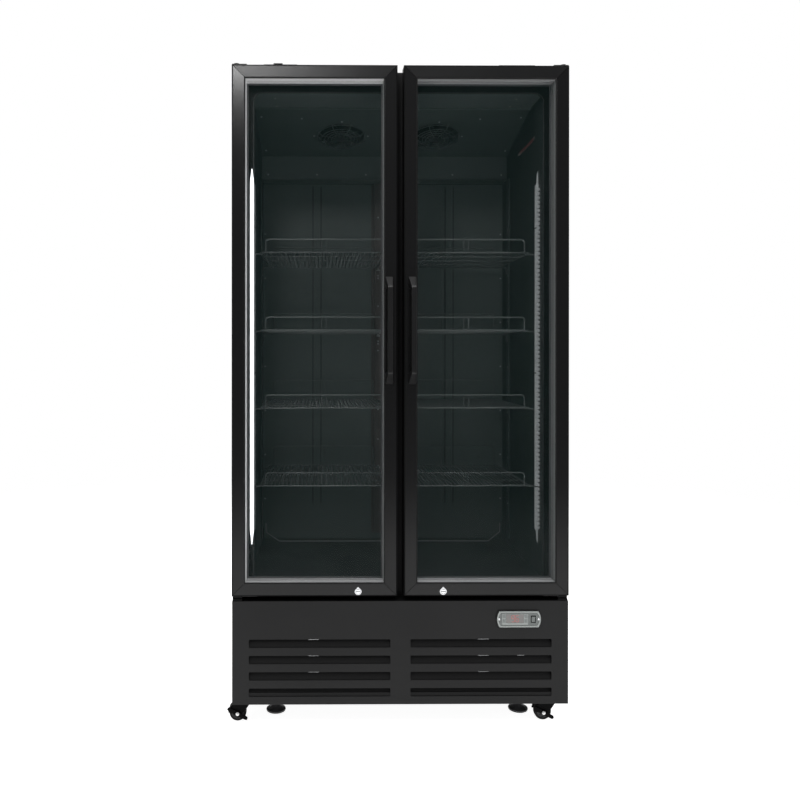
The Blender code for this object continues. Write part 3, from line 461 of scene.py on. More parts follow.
def make_door(word, side):
    """A door: four mitred lengths, an edge strip, two panes with their trim, and fittings."""
    span = limits("door_frame_right")
    body = f"door_{word}"
    for name, members, look in (("stiles", (1, 3), "profile_upright"),
                                ("rails", (0, 2), "profile_level")):
        shape = Shape()
        mitred(shape, span, door_section(), members)
        replaced = (f"door_frame_{word}",) if name == "stiles" else ()
        shape.piece(f"door_{name}_{word}", look, body, side, replaced)

    # The rounded outer edge, in a darker black than the profile: painted shade for the dark line it
    # shows.
    strip = Shape()
    rounded = [(EDGE_R - x, EDGE_R - y) for x, y in around(EDGE_R, 5, 0, 90)]
    surround(strip, span, [(0.0, DOOR_DEPTH - 0.0010), *rounded, (EDGE_R, DOOR_DEPTH),
                           (0.0010, DOOR_DEPTH)])
    strip.piece(f"door_edge_strip_{word}", "profile_edge", body, side)

    bead = Shape()
    lip = OPENING - 0.0028
    surround(bead, span, [(lip, 0.0010), (lip + 0.0006, 0.0006), (lip + 0.0024, 0.0010),
                          (lip + 0.0032, 0.0018), (lip + 0.0032, GLASS_FRONT - 0.0001),
                          (lip, GLASS_FRONT - 0.0001)])
    bead.piece(f"door_glazing_bead_{word}", "rubber", body, side)

    for name, front, look in (("front", GLASS_FRONT, "pane_tinted"),
                              ("rear", GLASS_BACK - PANE, "pane_clear")):
        pane = Shape()
        low, high = corner(span, 0, GLASS_INSET, front), corner(span, 2, GLASS_INSET, front + PANE)
        pane.box(low, high, 0.0005, 1)
        replaced = (f"door_glass_{word}",) if name == "front" else ()
        pane.piece(f"door_pane_{name}_{word}", look, body, side, replaced)

    add_bright_ring("spacer", word, side, ridged(GLASS_INSET + 0.0007, OPENING + 0.0010,
                                                 GLASS_FRONT + PANE + 0.0002,
                                                 GLASS_BACK - PANE - 0.0002))
    add_bright_ring("reveal", word, side, ridged(OPENING - 0.0006, OPENING + 0.0008,
                                                 GLASS_BACK + 0.0004, DOOR_DEPTH - 0.0004,
                                                 0.0005, 0.0045))

    flange = Shape()
    back = DOOR_DEPTH + 0.0032
    surround(flange, span, [(OPENING - 0.0020, DOOR_DEPTH + 0.0002),
                            (OPENING + 0.0050, DOOR_DEPTH + 0.0002),
                            (OPENING + 0.0058, DOOR_DEPTH + 0.0012), (OPENING + 0.0052, back),
                            (OPENING - 0.0010, back)])
    flange.piece(f"door_inner_flange_{word}", "flange_grey", body, side)

    make_gasket(word, side)
    make_handle(word, side)
    make_lock(word, side)
    make_limiter(word, side)


def add_bright_ring(name, word, side, section):
    """Metal lengths round the glass, in lighter, plain and darker copies of one metal."""
    # Painted highlight with a faint glow on the left door's outer and top lengths; painted shade on
    # the right door's uprights and the left door's inner one.
    lit, plain, dim = ((1, 2), (0,), (3,)) if side < 0 else ((), (0, 2), (1, 3))
    for look, members in (("lit", lit), ("bright", plain), ("dim", dim)):
        if members:
            shape = Shape()
            mitred(shape, limits("door_frame_right"), section, members)
            shape.piece(f"door_{name}_{look}_{word}", f"spacer_{look}", f"door_{word}", side)


def make_gasket(word, side):
    """The magnetic gasket: a dart by the door, a folded bellows and the magnet's pocket."""
    low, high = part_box("door_gasket_right")
    front, back = depth_of(low.y), depth_of(high.y)
    width = 0.018
    half = [(0.0065, front), (0.0065, front + 0.0012), (0.0040, front + 0.0019),
            (0.0058, front + 0.0034), (0.0034, front + 0.0050), (0.0056, front + 0.0062),
            (0.0084, front + 0.0068), (0.0090, front + 0.0078), (0.0090, back - 0.0010),
            (0.0080, back)]
    section = [(width / 2 + x, depth) for x, depth in half]
    section += [(width / 2 - x, depth) for x, depth in reversed(half)]
    gasket = Shape()
    surround(gasket, limits("door_gasket_right"), section)
    gasket.piece(f"door_gasket_bellows_{word}", "rubber", f"door_{word}", side,
                 (f"door_gasket_{word}",), sharp=50)


def make_handle(word, side):
    """A bow handle: sloping feet, a narrow front and wider flanks toward the door."""
    low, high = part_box("door_handle_right")
    z0, z1, base, front = low.z, high.z, depth_of(high.y), depth_of(low.y)
    middle_x, foot_width = (low.x + high.x) / 2, high.x - low.x
    narrow = 0.0145 / foot_width      # the front's share of the feet's width
    slope, foot, grip, round_r = 0.034, 0.031, 0.0145, 0.006
    outline = [(base, z0), (base, z0 + foot)]
    for turn in (60, 30, 0):
        angle = math.radians(turn)
        outline.append((front + grip + round_r * (1 - math.cos(angle)),
                        z0 + slope + round_r * (2 - math.sin(angle))))
    outline += [(depth, z0 + z1 - z) for depth, z in reversed(outline)]
    outline += [(front + 0.0025, z1 - slope + 0.004), (front, z1 - slope - 0.003),
                (front, z0 + slope + 0.003), (front + 0.0025, z0 + slope - 0.004)]
    handle = Shape()
    handle.plate([outline], -foot_width / 2, foot_width / 2, 0.0022, "X", FROM_FRONT)
    for vertex in handle.mesh.verts:
        toward_door = 1 - (base - depth_of(vertex.co.y)) / (base - front)
        vertex.co.x = middle_x + vertex.co.x * (narrow + (1 - narrow) * toward_door)
    handle.piece(f"door_pull_{word}", "moulded_black", f"door_{word}", side,
                 (f"door_handle_{word}",))


def make_lock(word, side):
    """The lock's face: a rim with a pointed top, and a plug in two halves by a key slot."""
    low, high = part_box("door_lock_right")
    face_r = (high.x - low.x) / 2
    x, z, front = (low.x + high.x) / 2, low.z + face_r, depth_of(low.y)
    ring = Shape()
    tip = [(0.0, 0.0148)] + around(face_r - 0.0002, 30, 60, -300)
    hole = around(0.0068, 32)
    ring.plate([[(x + dx, z + dz) for dx, dz in edge] for edge in (tip, hole)],
               front + 0.0008, -0.0002, 0.0006, "Y", FROM_FRONT)
    ring.piece(f"door_lock_bezel_{word}", "zinc", f"lock_{word}", side, (f"door_lock_{word}",))
    plug = Shape()
    for turn in (0, 180):
        half = [(x + dx, z + dz) for dx, dz in around(0.0066, 16, 6 + turn, 168)]
        plug.plate([half], front + 0.0002, -0.0002, 0.0005, "Y", FROM_FRONT)
    plug.piece(f"door_lock_plug_{word}", "chrome", f"lock_{word}", side)


def make_limiter(word, side):
    """The stay plate on the door's top edge, with its two screws and a stop."""
    z = DOOR_HIGH.z + 0.0002
    near, far = (0.307, 0.405) if side < 0 else (0.292, 0.399)
    plate = Shape()
    plate.box((near, at(0.007), z), (far, at(0.036), z + 0.0026), 0.0006)
    plate.box((near + 0.006, at(0.020), z + 0.0024), (far - 0.006, at(0.033), z + 0.0036), 0.0005)
    if side < 0:
        plate.box((0.350, at(0.009), z + 0.0024), (0.377, at(0.030), z + 0.0070), 0.0012)
    plate.piece(f"door_stay_plate_{word}", "profile_edge", f"door_{word}", side)
    screws = Shape()
    for x in (near + 0.012, far - 0.012):
        screws.screw((x, at(0.0135), z + 0.0026), (0, 0, 1), 0.0038)
    screws.piece(f"door_stay_screws_{word}", "screw_dull", f"door_{word}", side)


def make_hinges(word, side):
    """The caps, sleeves and blocks on a door's two hinges, and the plate under the door."""
    dress(f"top_hinge_{word}", "powder_coat", 0.0008)
    dress(f"bottom_hinge_{word}", "frame_black", 0.0006)
    _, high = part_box("top_hinge_right")
    x, plate_z = high.x - 0.0125, DOOR_HIGH.z + 0.0045
    cover = Shape()
    cover.turned([(0.0, 0.0042), (0.0050, 0.0040), (0.0085, 0.0024), (0.0098, 0.0004),
                  (0.0098, 0.0), (0.0, 0.0)], (x, at(DOOR_DEPTH / 2), plate_z), steps=32)
    cover.box((x - 0.026, at(0.012), plate_z), (x + 0.009, at(0.050), plate_z + 0.0016), 0.0007)
    cover.piece(f"top_hinge_cap_{word}", "profile_edge", side=side)
    screws = Shape()
    for x in (0.466, 0.490):
        screws.screw((x, at(0.078), plate_z), (0, 0, 1), 0.0042)
    screws.piece(f"top_hinge_screws_{word}", "zinc", side=side)
    low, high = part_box("bottom_hinge_right")
    sleeve = Shape()
    bottom, pin_x, bore_r, sleeve_r = low.z + 0.004, 0.4875, 0.0048, 0.0062
    top = DOOR_LOW.z - 0.0006 - bottom
    sleeve.turned([(bore_r, 0.0002), (0.0075, 0.0002), (0.0075, 0.0030), (sleeve_r, 0.0040),
                   (sleeve_r, top), (bore_r, top)], (pin_x, at(DOOR_DEPTH / 2), bottom), steps=28)
    sleeve.piece(f"bottom_hinge_sleeve_{word}", "moulded_black", side=side)
    block = Shape()
    block.box((low.x + 0.0006, at(0.014), low.z + 0.0004),
              (high.x + 0.0006, at(0.056), DOOR_LOW.z - 0.0006), 0.0006)
    block.piece(f"bottom_hinge_block_{word}", "frame_black", side=side)
    plate = Shape()
    plate.box((0.424, at(0.006), DOOR_LOW.z - 0.0016), (0.470, at(0.030), DOOR_LOW.z - 0.0002),
              0.0004)
    plate.piece(f"door_bottom_plate_{word}", "moulded_grey", f"door_{word}", side)


# ---- Cabinet -----------------------------------------------------------------------------
def make_shell():
    """The CAD nodes that keep their own shape, with lips, screws and louvre blades on them."""
    for word, _ in SIDES:
        dress(f"side_panel_{word}", "powder_coat", 0.0005)
        dress(f"insulated_wall_{word}", "liner")
        dress(f"shelf_strip_{word}", "liner_cover", 0.0004)
    for node, look, edge in (
            ("insulated_roof", "powder_coat", 0.0008), ("insulated_back", "powder_coat", 0.0012),
            ("insulated_floor", "liner_floor", 0.0), ("front_frame", "frame_black", 0.0008),
            ("rear_duct_panel", "liner_panel", 0.0006), ("rear_center_post", "liner_post", 0.0006),
            ("evaporator_cover", "liner_cover", 0.0004), ("evaporator_coil", "fins", 0.0),
            ("condenser", "fins", 0.0), ("rear_grille", "powder_coat", 0.0005),
            ("base_tray", "louvre_painted_shade", 0.0008)):
        dress(node, look, edge)

    low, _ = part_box("front_frame")
    lip = Shape()
    ring_r, width = 0.025, 0.0030
    z0, z1 = 0.425, 1.905
    for x0, x1 in ((0.040, 0.438), (-0.438, -0.040)):
        window = rounded_rectangle((x0, z0), (x1, z1), ring_r)
        edge = rounded_rectangle((x0 - width, z0 - width), (x1 + width, z1 + width),
                                 ring_r + width)
        lip.plate([edge, window], low.y - 0.0006, low.y + 0.0060, 0.0006)
    lip.piece("front_frame_lips", "moulded_grey")

    screws = Shape()
    low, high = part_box("insulated_back")
    back_levels = (low.z + 0.030, (low.z + high.z) / 2, high.z - 0.030)
    places = [(z, high.y) for z in back_levels]
    low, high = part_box("rear_grille")
    places += [(z, high.y) for z in (low.z + 0.020, high.z - 0.015)]
    screw_columns = (-0.470, -0.157, 0.157, 0.470)
    for x in screw_columns:
        for z, y in places:
            screws.screw((x, y, z), (0, 1, 0), 0.0042)
    screws.piece("back_screws", "screw_dull")

    blades = Shape()
    row_pitch = 0.042
    for row in range(5):
        z = low.z + 0.060 + row * row_pitch
        for x in (-0.430, -0.130, 0.170):
            path = [(high.y - 0.0035, z + 0.0165), (high.y - 0.0060, z + 0.0150),
                    (high.y - 0.0150, z + 0.0020)]
            blades.plate([ribbon(path, 0.0010)], x - 0.004, x + 0.264, 0.0, "X")
    blades.piece("back_louvre_blades", "powder_coat")


def make_front_panel():
    """The base's front: a folded sheet with slots, louvre blades behind them, and clips."""
    low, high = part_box("front_panel")
    front, back = depth_of(low.y), depth_of(high.y)
    sheet, slot_height, near, far = 0.002, 0.024, 0.030, 0.449
    slot_tops = (0.268, 0.2197, 0.1713, 0.123)
    outlines = [rounded_rectangle((low.x, low.z), (high.x, high.z), 0.0015, 3)]
    for top in slot_tops:
        for x0, x1 in ((near, far), (-far, -near)):
            outlines.append(rounded_rectangle((x0, top - slot_height), (x1, top), 0.0030, 4))
    x, z = control_centre()
    outlines.append(rounded_rectangle((x - 0.058, z - 0.0185), (x + 0.058, z + 0.0185), 0.001, 2))
    panel = Shape()
    panel.plate(outlines, low.y, low.y + sheet, 0.0009)
    inner = back - 0.0004
    panel.box((low.x + 0.0010, at(front + 0.0012), high.z - sheet),
              (high.x - 0.0010, at(inner), high.z), 0.0006)
    for x0 in (low.x, high.x - sheet):
        panel.box((x0, at(front + 0.0012), low.z), (x0 + sheet, at(inner), high.z - 0.0008), 0.0006)
    panel.piece("base_front", "powder_coat", replaces=("front_panel",))

    # The blades take the darker louvre black: painted shade inside the slots.
    blades = Shape()
    for top in slot_tops:
        bottom = top - slot_height
        path = [(front + 0.0030, bottom - 0.0045), (front + 0.0034, bottom - 0.0005),
                (front + 0.0062, bottom + 0.0060), (front + 0.0150, top + 0.0020)]
        for x0, x1 in ((near - 0.003, far + 0.002), (-far - 0.002, -near + 0.003)):
            blades.plate([ribbon(path, 0.0012)], x0, x1, 0.0, "X", FROM_FRONT)
    blades.piece("base_louvre_blades", "louvre_painted_shade")

    clips = Shape()
    places = [(x, top, 0.0155) for top in slot_tops[:3] for x in (-0.258, 0.247)]
    for x, top, half in (*places, (0.3585, slot_tops[1], 0.0105)):
        clips.box((x - half, at(front + 0.0026), top - 0.0012),
                  (x + half, at(front + 0.0060), top + 0.0030), 0.0004)
    clips.piece("base_panel_clips", "zinc")


def control_centre():
    low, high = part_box("controller")
    return (low.x + high.x) / 2, (low.z + high.z) / 2


def make_controller():
    """The controller's bezel, display, digits, keys and screws, and the lights' rocker."""
    low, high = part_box("controller")
    x, z = control_centre()
    half_x, half_z, bow = 0.058, (high.z - low.z) / 2, 0.007
    front = depth_of(low.y)

    def bowed(inset):
        """The bezel's outline: straight long edges and bulging ends."""
        right = []
        reach_z = half_z - inset
        for i in range(13):
            t = -1 + 2 * i / 12
            right.append((half_x - inset + bow * (1 - t * t), reach_z * t))
        outline = right + [(-dx, -dz) for dx, dz in right]
        return [(x + dx, z + dz) for dx, dz in outline]

    def panel_box(shape, x0, x1, z0, z1, proud, back, edge=0.0005):
        shape.box((x + x0, at(front + proud), z + z0), (x + x1, at(back), z + z1), edge)

    body_back = 0.0036
    base = Shape()
    pocket = rounded_rectangle((x + 0.0355, z - 0.0108), (x + 0.0505, z + 0.0108), 0.0015, 3)
    base.plate([bowed(0.0006), pocket], at(front + 0.0016), at(body_back), 0.0006)
    base.piece("controller_base", "bezel", replaces=("controller",))
    # A dark rubber ring behind the bezel's rim: painted shadow round the controller.
    shadow_ring = Shape()
    shadow_ring.plate([bowed(-0.0028), bowed(0.0040)], at(front + 0.0030), at(body_back + 0.0006), 0.0006)
    shadow_ring.piece("controller_painted_shadow", "rubber")
    rim = Shape()
    rim.plate([bowed(0.0), bowed(0.0042)], at(front), at(front + 0.0026), 0.0007)
    for spans in ((-0.0500, -0.0378, -0.0160, 0.0165), (0.0146, 0.0270, -0.0160, 0.0165),
                  (-0.0382, 0.0150, -0.0162, -0.0112), (-0.0382, 0.0150, 0.0150, 0.0166)):
        panel_box(rim, *spans, 0.0006, 0.0012)
    rim.piece("controller_rim", "bezel_light")
    glass = Shape()
    panel_box(glass, -0.0376, 0.0144, -0.0110, 0.0148, 0.0012, 0.0012)
    glass.piece("controller_display", "display")
    digits = Shape()
    for left, segments in ((-0.0215, "abcdfg"), (-0.0095, "adefgc")):
        add_digit(digits, x + left, z - 0.0075, 0.0085, 0.0185, at(front + 0.0010), segments)
    digits.piece("controller_digits", "digits")
    keys = Shape()
    for x0 in (-0.0485, 0.0160):
        for z0 in (0.0040, -0.0100):
            panel_box(keys, x0, x0 + 0.0095, z0, z0 + 0.0105, 0.0001, 0.0009, 0.0004)
    keys.piece("controller_keys", "key_grey")
    screws = Shape()
    for dx in (-0.0590, 0.0590):
        screws.screw((x + dx, at(front + 0.0016), z), (0, -1, 0), 0.0034)
    screws.piece("controller_screws", "chrome")

    low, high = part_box("light_switch")
    middle = Vector(((low.x + high.x) / 2, at(0.0030), (low.z + high.z) / 2))
    turn = Matrix.Translation(middle) @ Matrix.Rotation(math.radians(8), 4, "X")
    half_h, deep, dish = 0.0081, 0.0041, 0.0010
    face = [(-deep + dish * (1 - (t / 4) ** 2), half_h * t / 4) for t in range(-4, 5)]
    rocker = Shape()
    rocker.plate([[(deep, half_h), (deep, -half_h), *face]], -0.0054, 0.0054, 0.0007, "X", turn)
    rocker.piece("light_rocker", "bezel", "light_switch", replaces=("light_switch",))


def add_digit(shape, x, z, width, height, y, segments):
    """A seven-segment figure of slim bars."""
    bar, gap, half = 0.0016, 0.0004, height / 2
    level = {"a": height, "g": half, "d": 0.0}
    upright = {"b": (width, half), "c": (width, 0.0), "e": (0.0, 0.0), "f": (0.0, half)}
    for name in segments:
        if name in level:
            low = (x + gap, y, z + level[name] - bar / 2)
            high = (x + width - gap, y + 0.0004, z + level[name] + bar / 2)
        else:
            dx, dz = upright[name]
            low = (x + dx - bar / 2, y, z + dz + gap)
            high = (x + dx + bar / 2, y + 0.0004, z + dz + half - gap)
        shape.box(low, high, 0.0001, 1)


# ---- Base --------------------------------------------------------------------------------
def make_casters():
    """Each caster is made with its stem at the origin, and its wheel trails toward -X."""
    trail = 0.024
    for end, heading, turn in (("front", 1, 0), ("rear", -1, math.pi)):
        for word in (f"{end}_left", f"{end}_right"):
            low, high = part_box(f"caster_wheel_{word}")
            hub = (low + high) / 2
            stem = Matrix.Translation((hub.x + heading * trail, hub.y, 0))
            make_caster(word, stem @ Matrix.Rotation(turn, 4, "Z"), trail, hub.z)


def put(shape, place):
    shape.mesh.transform(place)
    return shape


def make_caster(word, place, trail, radius):
    """A fork with its swivel head, an axle bolt, a tyre, and a hub with spokes."""
    body = f"caster_{word}"
    hub = (-trail, radius)
    fork, leg_y, leg_half = Shape(), 0.01375, 0.00115
    fork.turned([(0.0050, 0.0636), (0.0115, 0.0636), (0.0136, 0.0626), (0.0142, 0.0606),
                 (0.0130, 0.0588), (0.0050, 0.0584)], steps=40)
    hood_r = radius + 0.0026
    hood = [(hub[0] + dx, hub[1] + dz) for dx, dz in around(hood_r, 14, 176, -92)]
    leg = [*hood, (0.0060, 0.0600), (0.0112, 0.0588), (0.0098, 0.0500), (-0.0020, 0.0330)]
    leg += [(hub[0] + dx, hub[1] + dz) for dx, dz in around(0.0098, 8, -20, -150)]
    for side in (-1, 1):
        fork.plate([leg], side * leg_y - leg_half, side * leg_y + leg_half, 0.0006)
    crown = [(hub[0] + dx, hub[1] + dz) for dx, dz in around(hood_r - 0.0004, 14, 150, -70)]
    crown += [(0.0060, 0.0592)]
    fork.plate([ribbon(crown, 0.0018)], -0.0132, 0.0132)
    put(fork, place).piece(f"caster_frame_{word}", "caster_coat", body,
                           replaces=(f"caster_fork_{word}",))
    # The axle bolt and cap in a near-white colour: painted reflection of a chrome cap.
    bolt = Shape()
    axle = Vector((hub[0], 0, hub[1]))
    reach = Vector((0, -0.0205 if word.startswith("front") else -0.0152, 0))
    bolt.turned([(0.0, 0.0024), (0.0022, 0.0022), (0.0044, 0.0012), (0.0054, 0.0), (0.0, 0.0)],
                axle + reach, (0, -1, 0), 24)
    bolt.rod(axle + reach, axle + Vector((0, 0.0152, 0)), 0.0040)
    bolt.rod(axle + Vector((0, 0.0150, 0)), axle + Vector((0, 0.0185, 0)), 0.0062, sides=6)
    put(bolt, place).piece(f"caster_axle_{word}", "cap_painted_reflection", body)

    tyre = Shape()
    tread_half, core_r = 0.0098, radius - 0.0075
    crest = [(radius - 0.0012, tread_half - 0.0012), (radius - 0.0003, tread_half - 0.0035),
             (radius, 0.0)]
    outer = [(core_r, tread_half - 0.0010), (core_r + 0.0030, tread_half), *crest]
    profile = outer + [(r, -h) for r, h in reversed(outer[:-1])]
    tyre.turned(profile, axle, (0, 1, 0), 64)
    wheel_body = f"wheel_{word}"
    put(tyre, place).piece(f"caster_tyre_{word}", "tread", wheel_body,
                           replaces=(f"caster_wheel_{word}",))
    centre = Shape()
    face = [(0.0046, 0.0098), (0.0085, 0.0098), (0.0095, 0.0088), (0.0100, 0.0060),
            (core_r - 0.0030, 0.0056), (core_r - 0.0020, 0.0084), (core_r - 0.0002, 0.0088)]
    centre.turned(face + [(r, -h) for r, h in reversed(face)], axle, (0, 1, 0), 48)
    for i in range(6):
        spoke = Matrix.Translation(axle) @ Matrix.Rotation(math.radians(60 * i), 4, "Y")
        centre.box((0.0090, -0.0082, -0.0011), (core_r - 0.0022, 0.0082, 0.0011), 0.0004, 1, spoke)
    put(centre, place).piece(f"caster_hub_{word}", "moulded_grey", wheel_body)
    if word.startswith("front"):
        make_brake(word, place, hub)


def make_brake(word, place, hub):
    """The double-ended lever, with a ribbed pad on both of its ends."""
    half, slope = 0.034, Matrix.Rotation(math.radians(28), 4, "Y")
    turn = Matrix.Translation((hub[0], -0.0175, hub[1])) @ slope
    edge = [(half - 0.005 + dx, dz) for dx, dz in around(0.005, 8, -90, 180)]
    edge += around(0.0090, 6, 45, 90)
    edge += [(-half + 0.005 + dx, dz) for dx, dz in around(0.005, 8, 90, 180)]
    edge += around(0.0090, 6, 225, 90)
    lever = Shape()
    lever.plate([edge, around(0.0058, 24)], -0.00175, 0.00175, 0.0006, "Y", turn)
    for side in (-1, 1):
        x = side * (half - 0.0085)
        lever.box((x - 0.0065, -0.0017, -0.0047), (x + 0.0065, 0.0046, 0.0047), 0.0012, 2, turn)
    put(lever, place).piece(f"brake_lever_{word}", "caster_coat", f"brake_{word}",
                            replaces=(f"brake_pedal_{word}",))


def make_feet():
    """Each levelling foot: a pressed dish, a rubber pad, and a threaded stud with a nut."""
    for word, side in SIDES:
        low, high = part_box("levelling_foot_right")
        x, y = (low.x + high.x) / 2, (low.y + high.y) / 2
        radius = (high.x - low.x) / 2
        base = (x, y, low.z)
        dish = Shape()
        dish.turned([(0.0, 0.0215), (0.0085, 0.0210), (0.0105, 0.0185), (0.0130, 0.0150),
                     (0.0195, 0.0095), (radius - 0.0030, 0.0070), (radius - 0.0006, 0.0056),
                     (radius, 0.0040), (radius - 0.0004, 0.0022), (radius - 0.0014, 0.0018),
                     (0.0, 0.0018)], base)
        dish.piece(f"foot_dish_{word}", "moulded_grey", f"levelling_foot_{word}", side,
                   (f"levelling_foot_{word}",))
        pad = Shape()
        pad.turned([(0.0, 0.0019), (radius - 0.0012, 0.0019), (radius - 0.0010, 0.0006),
                    (radius - 0.0020, 0.0), (0.0, 0.0)], base)
        pad.piece(f"foot_pad_{word}", "rubber", f"levelling_foot_{word}", side)
        stud = Shape()
        turns, pitch = 26, 0.0018
        thread = []
        for i in range(turns):
            z = 0.0260 + i * pitch
            thread += [(0.0052, z), (0.0060, z + pitch / 2)]
        stud.turned([(0.0, 0.0205), (0.0056, 0.0205), *thread, (0.0050, high.z - low.z),
                     (0.0, high.z - low.z)], base, steps=28)
        stud.rod((x, y, low.z + 0.0208), (x, y, low.z + 0.0262), 0.0095, sides=6, edge=0.0005)
        stud.piece(f"foot_stud_{word}", "zinc", f"levelling_foot_{word}", side)


def make_cooling_unit():
    """The compressor with its feet and pipes, and the condenser's fan."""
    low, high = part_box("compressor")
    x, y, top = (low.x + high.x) / 2, (low.y + high.y) / 2, high.z
    shell = Shape()
    profile = [(0.0, 0.0), (0.022, -0.001), (0.045, -0.006), (0.064, -0.016), (0.077, -0.032),
               (0.0835, -0.052), (0.086, -0.075), (0.086, -0.115), (0.0885, -0.117),
               (0.0885, -0.124), (0.086, -0.126), (0.0850, -0.150), (0.079, -0.170),
               (0.064, -0.186), (0.040, -0.193), (0.0, -0.194)]
    shell.turned(profile, (x, y, top), steps=64)
    shell.box((x + 0.070, y - 0.030, top - 0.110), (x + 0.100, y + 0.030, top - 0.060), 0.004)
    shell.piece("compressor_shell", "enamel", replaces=("compressor",))
    mount = Shape()
    mount.box((x - 0.100, y - 0.080, low.z), (x + 0.100, y + 0.080, low.z + 0.004), 0.001)
    for dx in (-0.082, 0.082):
        for dy in (-0.064, 0.064):
            mount.turned([(0.004, 0.0), (0.012, 0.0), (0.013, 0.004), (0.010, 0.009),
                          (0.012, 0.014), (0.004, 0.015)], (x + dx, y + dy, low.z + 0.004))
    mount.piece("compressor_feet", "rubber")
    pipes = Shape()
    for start, bends, radius in (
            ((x - 0.060, y - 0.020, top - 0.020),
             ((0, 0, 0), (-0.012, 0, 0.030), (-0.050, 0, 0.052), (-0.120, 0.004, 0.052),
              (-0.150, 0.030, 0.036), (-0.156, 0.070, 0.0), (-0.156, 0.130, -0.010)), 0.0040),
            ((x - 0.040, y + 0.050, top - 0.040),
             ((0, 0, 0), (-0.020, 0.020, 0.030), (-0.070, 0.050, 0.034), (-0.160, 0.060, 0.030),
              (-0.220, 0.064, 0.010)), 0.0048)):
        pipes.tube([Vector(start) + Vector(bend) for bend in bends], radius, 12)
    pipes.piece("compressor_pipes", "copper")

    low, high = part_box("condenser_fan")
    centre = (low + high) / 2
    add_rotor("condenser_rotor", "condenser_fan", centre, (0, -1, 0), 0.097, 0.028, 0.024, 5)


def add_rotor(name, body, centre, axis, radius, hub_r, hub_height, blades):
    """A fan with curved, raked blades on a domed hub."""
    rotor = Shape()
    half = hub_height / 2
    turn = Matrix.Translation(centre) @ Vector(axis).to_track_quat("Z", "Y").to_matrix().to_4x4()
    rotor.turned([(0.0, half), (hub_r * 0.6, half * 0.95), (hub_r * 0.92, half * 0.7),
                  (hub_r, half * 0.3), (hub_r, -half), (0.0, -half)], centre, axis, 40)
    steps, across, thick = 6, 6, 0.0007
    for blade in range(blades):
        rings = []
        for i in range(steps + 1):
            share = i / steps
            r = hub_r * 0.94 + (radius - hub_r * 0.94) * share
            sweep = math.radians(360 * blade / blades + 16 * share * share)
            width = math.radians(52 - 8 * share)
            rise = half * (0.72 - 0.18 * share)
            front, back = [], []
            for j in range(across + 1):
                t = -1 + 2 * j / across
                turn_j = sweep + width / 2 * t
                z = rise * (t * 0.9 - 0.28 * (1 - t * t))
                point = (r * math.cos(turn_j), r * math.sin(turn_j))
                front.append((*point, z + thick))
                back.append((*point, z - thick))
            rings.append(front + back[::-1])
        rotor.loft(rings, matrix=turn)
    rotor.piece(name, "moulded_black", body, replaces=(body,), sharp=50)


# ---- Inside ------------------------------------------------------------------------------
REAR_GUARD = 0.072            # height of the rail at a shelf's rear edge
SKIRT_DEPTH = 0.5578          # front of the evaporator cover's skirt


def make_shelves():
    """One mesh of wires, a rim, bars, hoops and posts, which all eight shelves share."""
    low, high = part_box("shelf_right_1")
    half_x, half_y = (high.x - low.x) / 2, (high.y - low.y) / 2
    shelf = Shape()
    wire, border, bar = 0.0014, 0.0025, 0.0020
    count = 32
    inside = half_x - 2 * border
    for i in range(count):
        x = -inside + 2 * inside * (i + 0.5) / count
        shelf.tube([(x, -half_y + border, -wire), (x, half_y - border, -wire)], wire, 6)
    rim = rounded_rectangle((border - half_x, border - half_y),
                            (half_x - border, half_y - border), 0.012, 5)
    shelf.tube([(x, y, -2 * wire - 0.0008) for x, y in rim], border, 10, True)
    for y in (-half_y * 0.5, 0.0, half_y * 0.5):
        shelf.tube([(-half_x + border, y, -0.0040), (half_x - border, y, -0.0040)], bar, 8)
    hoop_half, bend = half_x - 0.0185, 0.010
    for y, height in ((-half_y + 0.0030, 0.040 - 0.0022), (half_y - 0.0030, REAR_GUARD - 0.0022)):
        hoop = [(-hoop_half, -0.003)]
        hoop += [(-hoop_half + bend + dx, height - bend + dz)
                 for dx, dz in around(bend, 6, 180, -90)]
        hoop += [(-x, z) for x, z in reversed(hoop)]
        shelf.tube([(x, y, z) for x, z in hoop], 0.0022, 8)
        for x in (-0.0075, 0.0075):
            shelf.tube([(x, y, -0.003), (x, y, height)], 0.0017, 6)
    mesh = shelf.built("shelf_wire")
    for word, _ in SIDES:
        for level in range(1, 5):
            name = f"shelf_{word}_{level}"
            low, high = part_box(name)
            obj = show(f"{name}_wire", mesh, "wire_coat", "cabinet", (name,))
            deck_top = high.z - REAR_GUARD
            obj.location = ((low.x + high.x) / 2, (low.y + high.y) / 2, deck_top)
            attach(obj, name)


def make_shelf_clips():
    """Bent hooks that carry the shelves' outer corners, and studs on the centre post."""
    strip_low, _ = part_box("shelf_strip_right")
    for word, side in SIDES:
        hooks, studs = Shape(), Shape()
        for level in range(1, 5):
            low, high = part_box(f"shelf_right_{level}")
            deck = high.z - REAR_GUARD - 0.0068
            for y in (low.y + 0.014, at(0.543)):
                wall = strip_low.x if y > at(0.4) else 0.4548
                path = ((high.x - 0.012, deck), (high.x + 0.010, deck),
                        (wall - 0.0022, deck - 0.006), (wall - 0.0022, deck - 0.026))
                for shift in (0.0, 0.012):
                    hooks.tube([(x, y + shift, z) for x, z in path], 0.0021, 8)
            for z in (deck + 0.001, deck - 0.024, deck - 0.034):
                studs.screw((0.0200, at(0.6184), z), (0, -1, 0), 0.0030)
            studs.box((0.0140, at(0.6080), deck - 0.0060),
                      (0.0260, at(0.6184), deck - 0.0030), 0.0006)
        hooks.piece(f"shelf_hooks_{word}", "wire_coat", side=side)
        studs.piece(f"shelf_studs_{word}", "screw_dull", side=side)


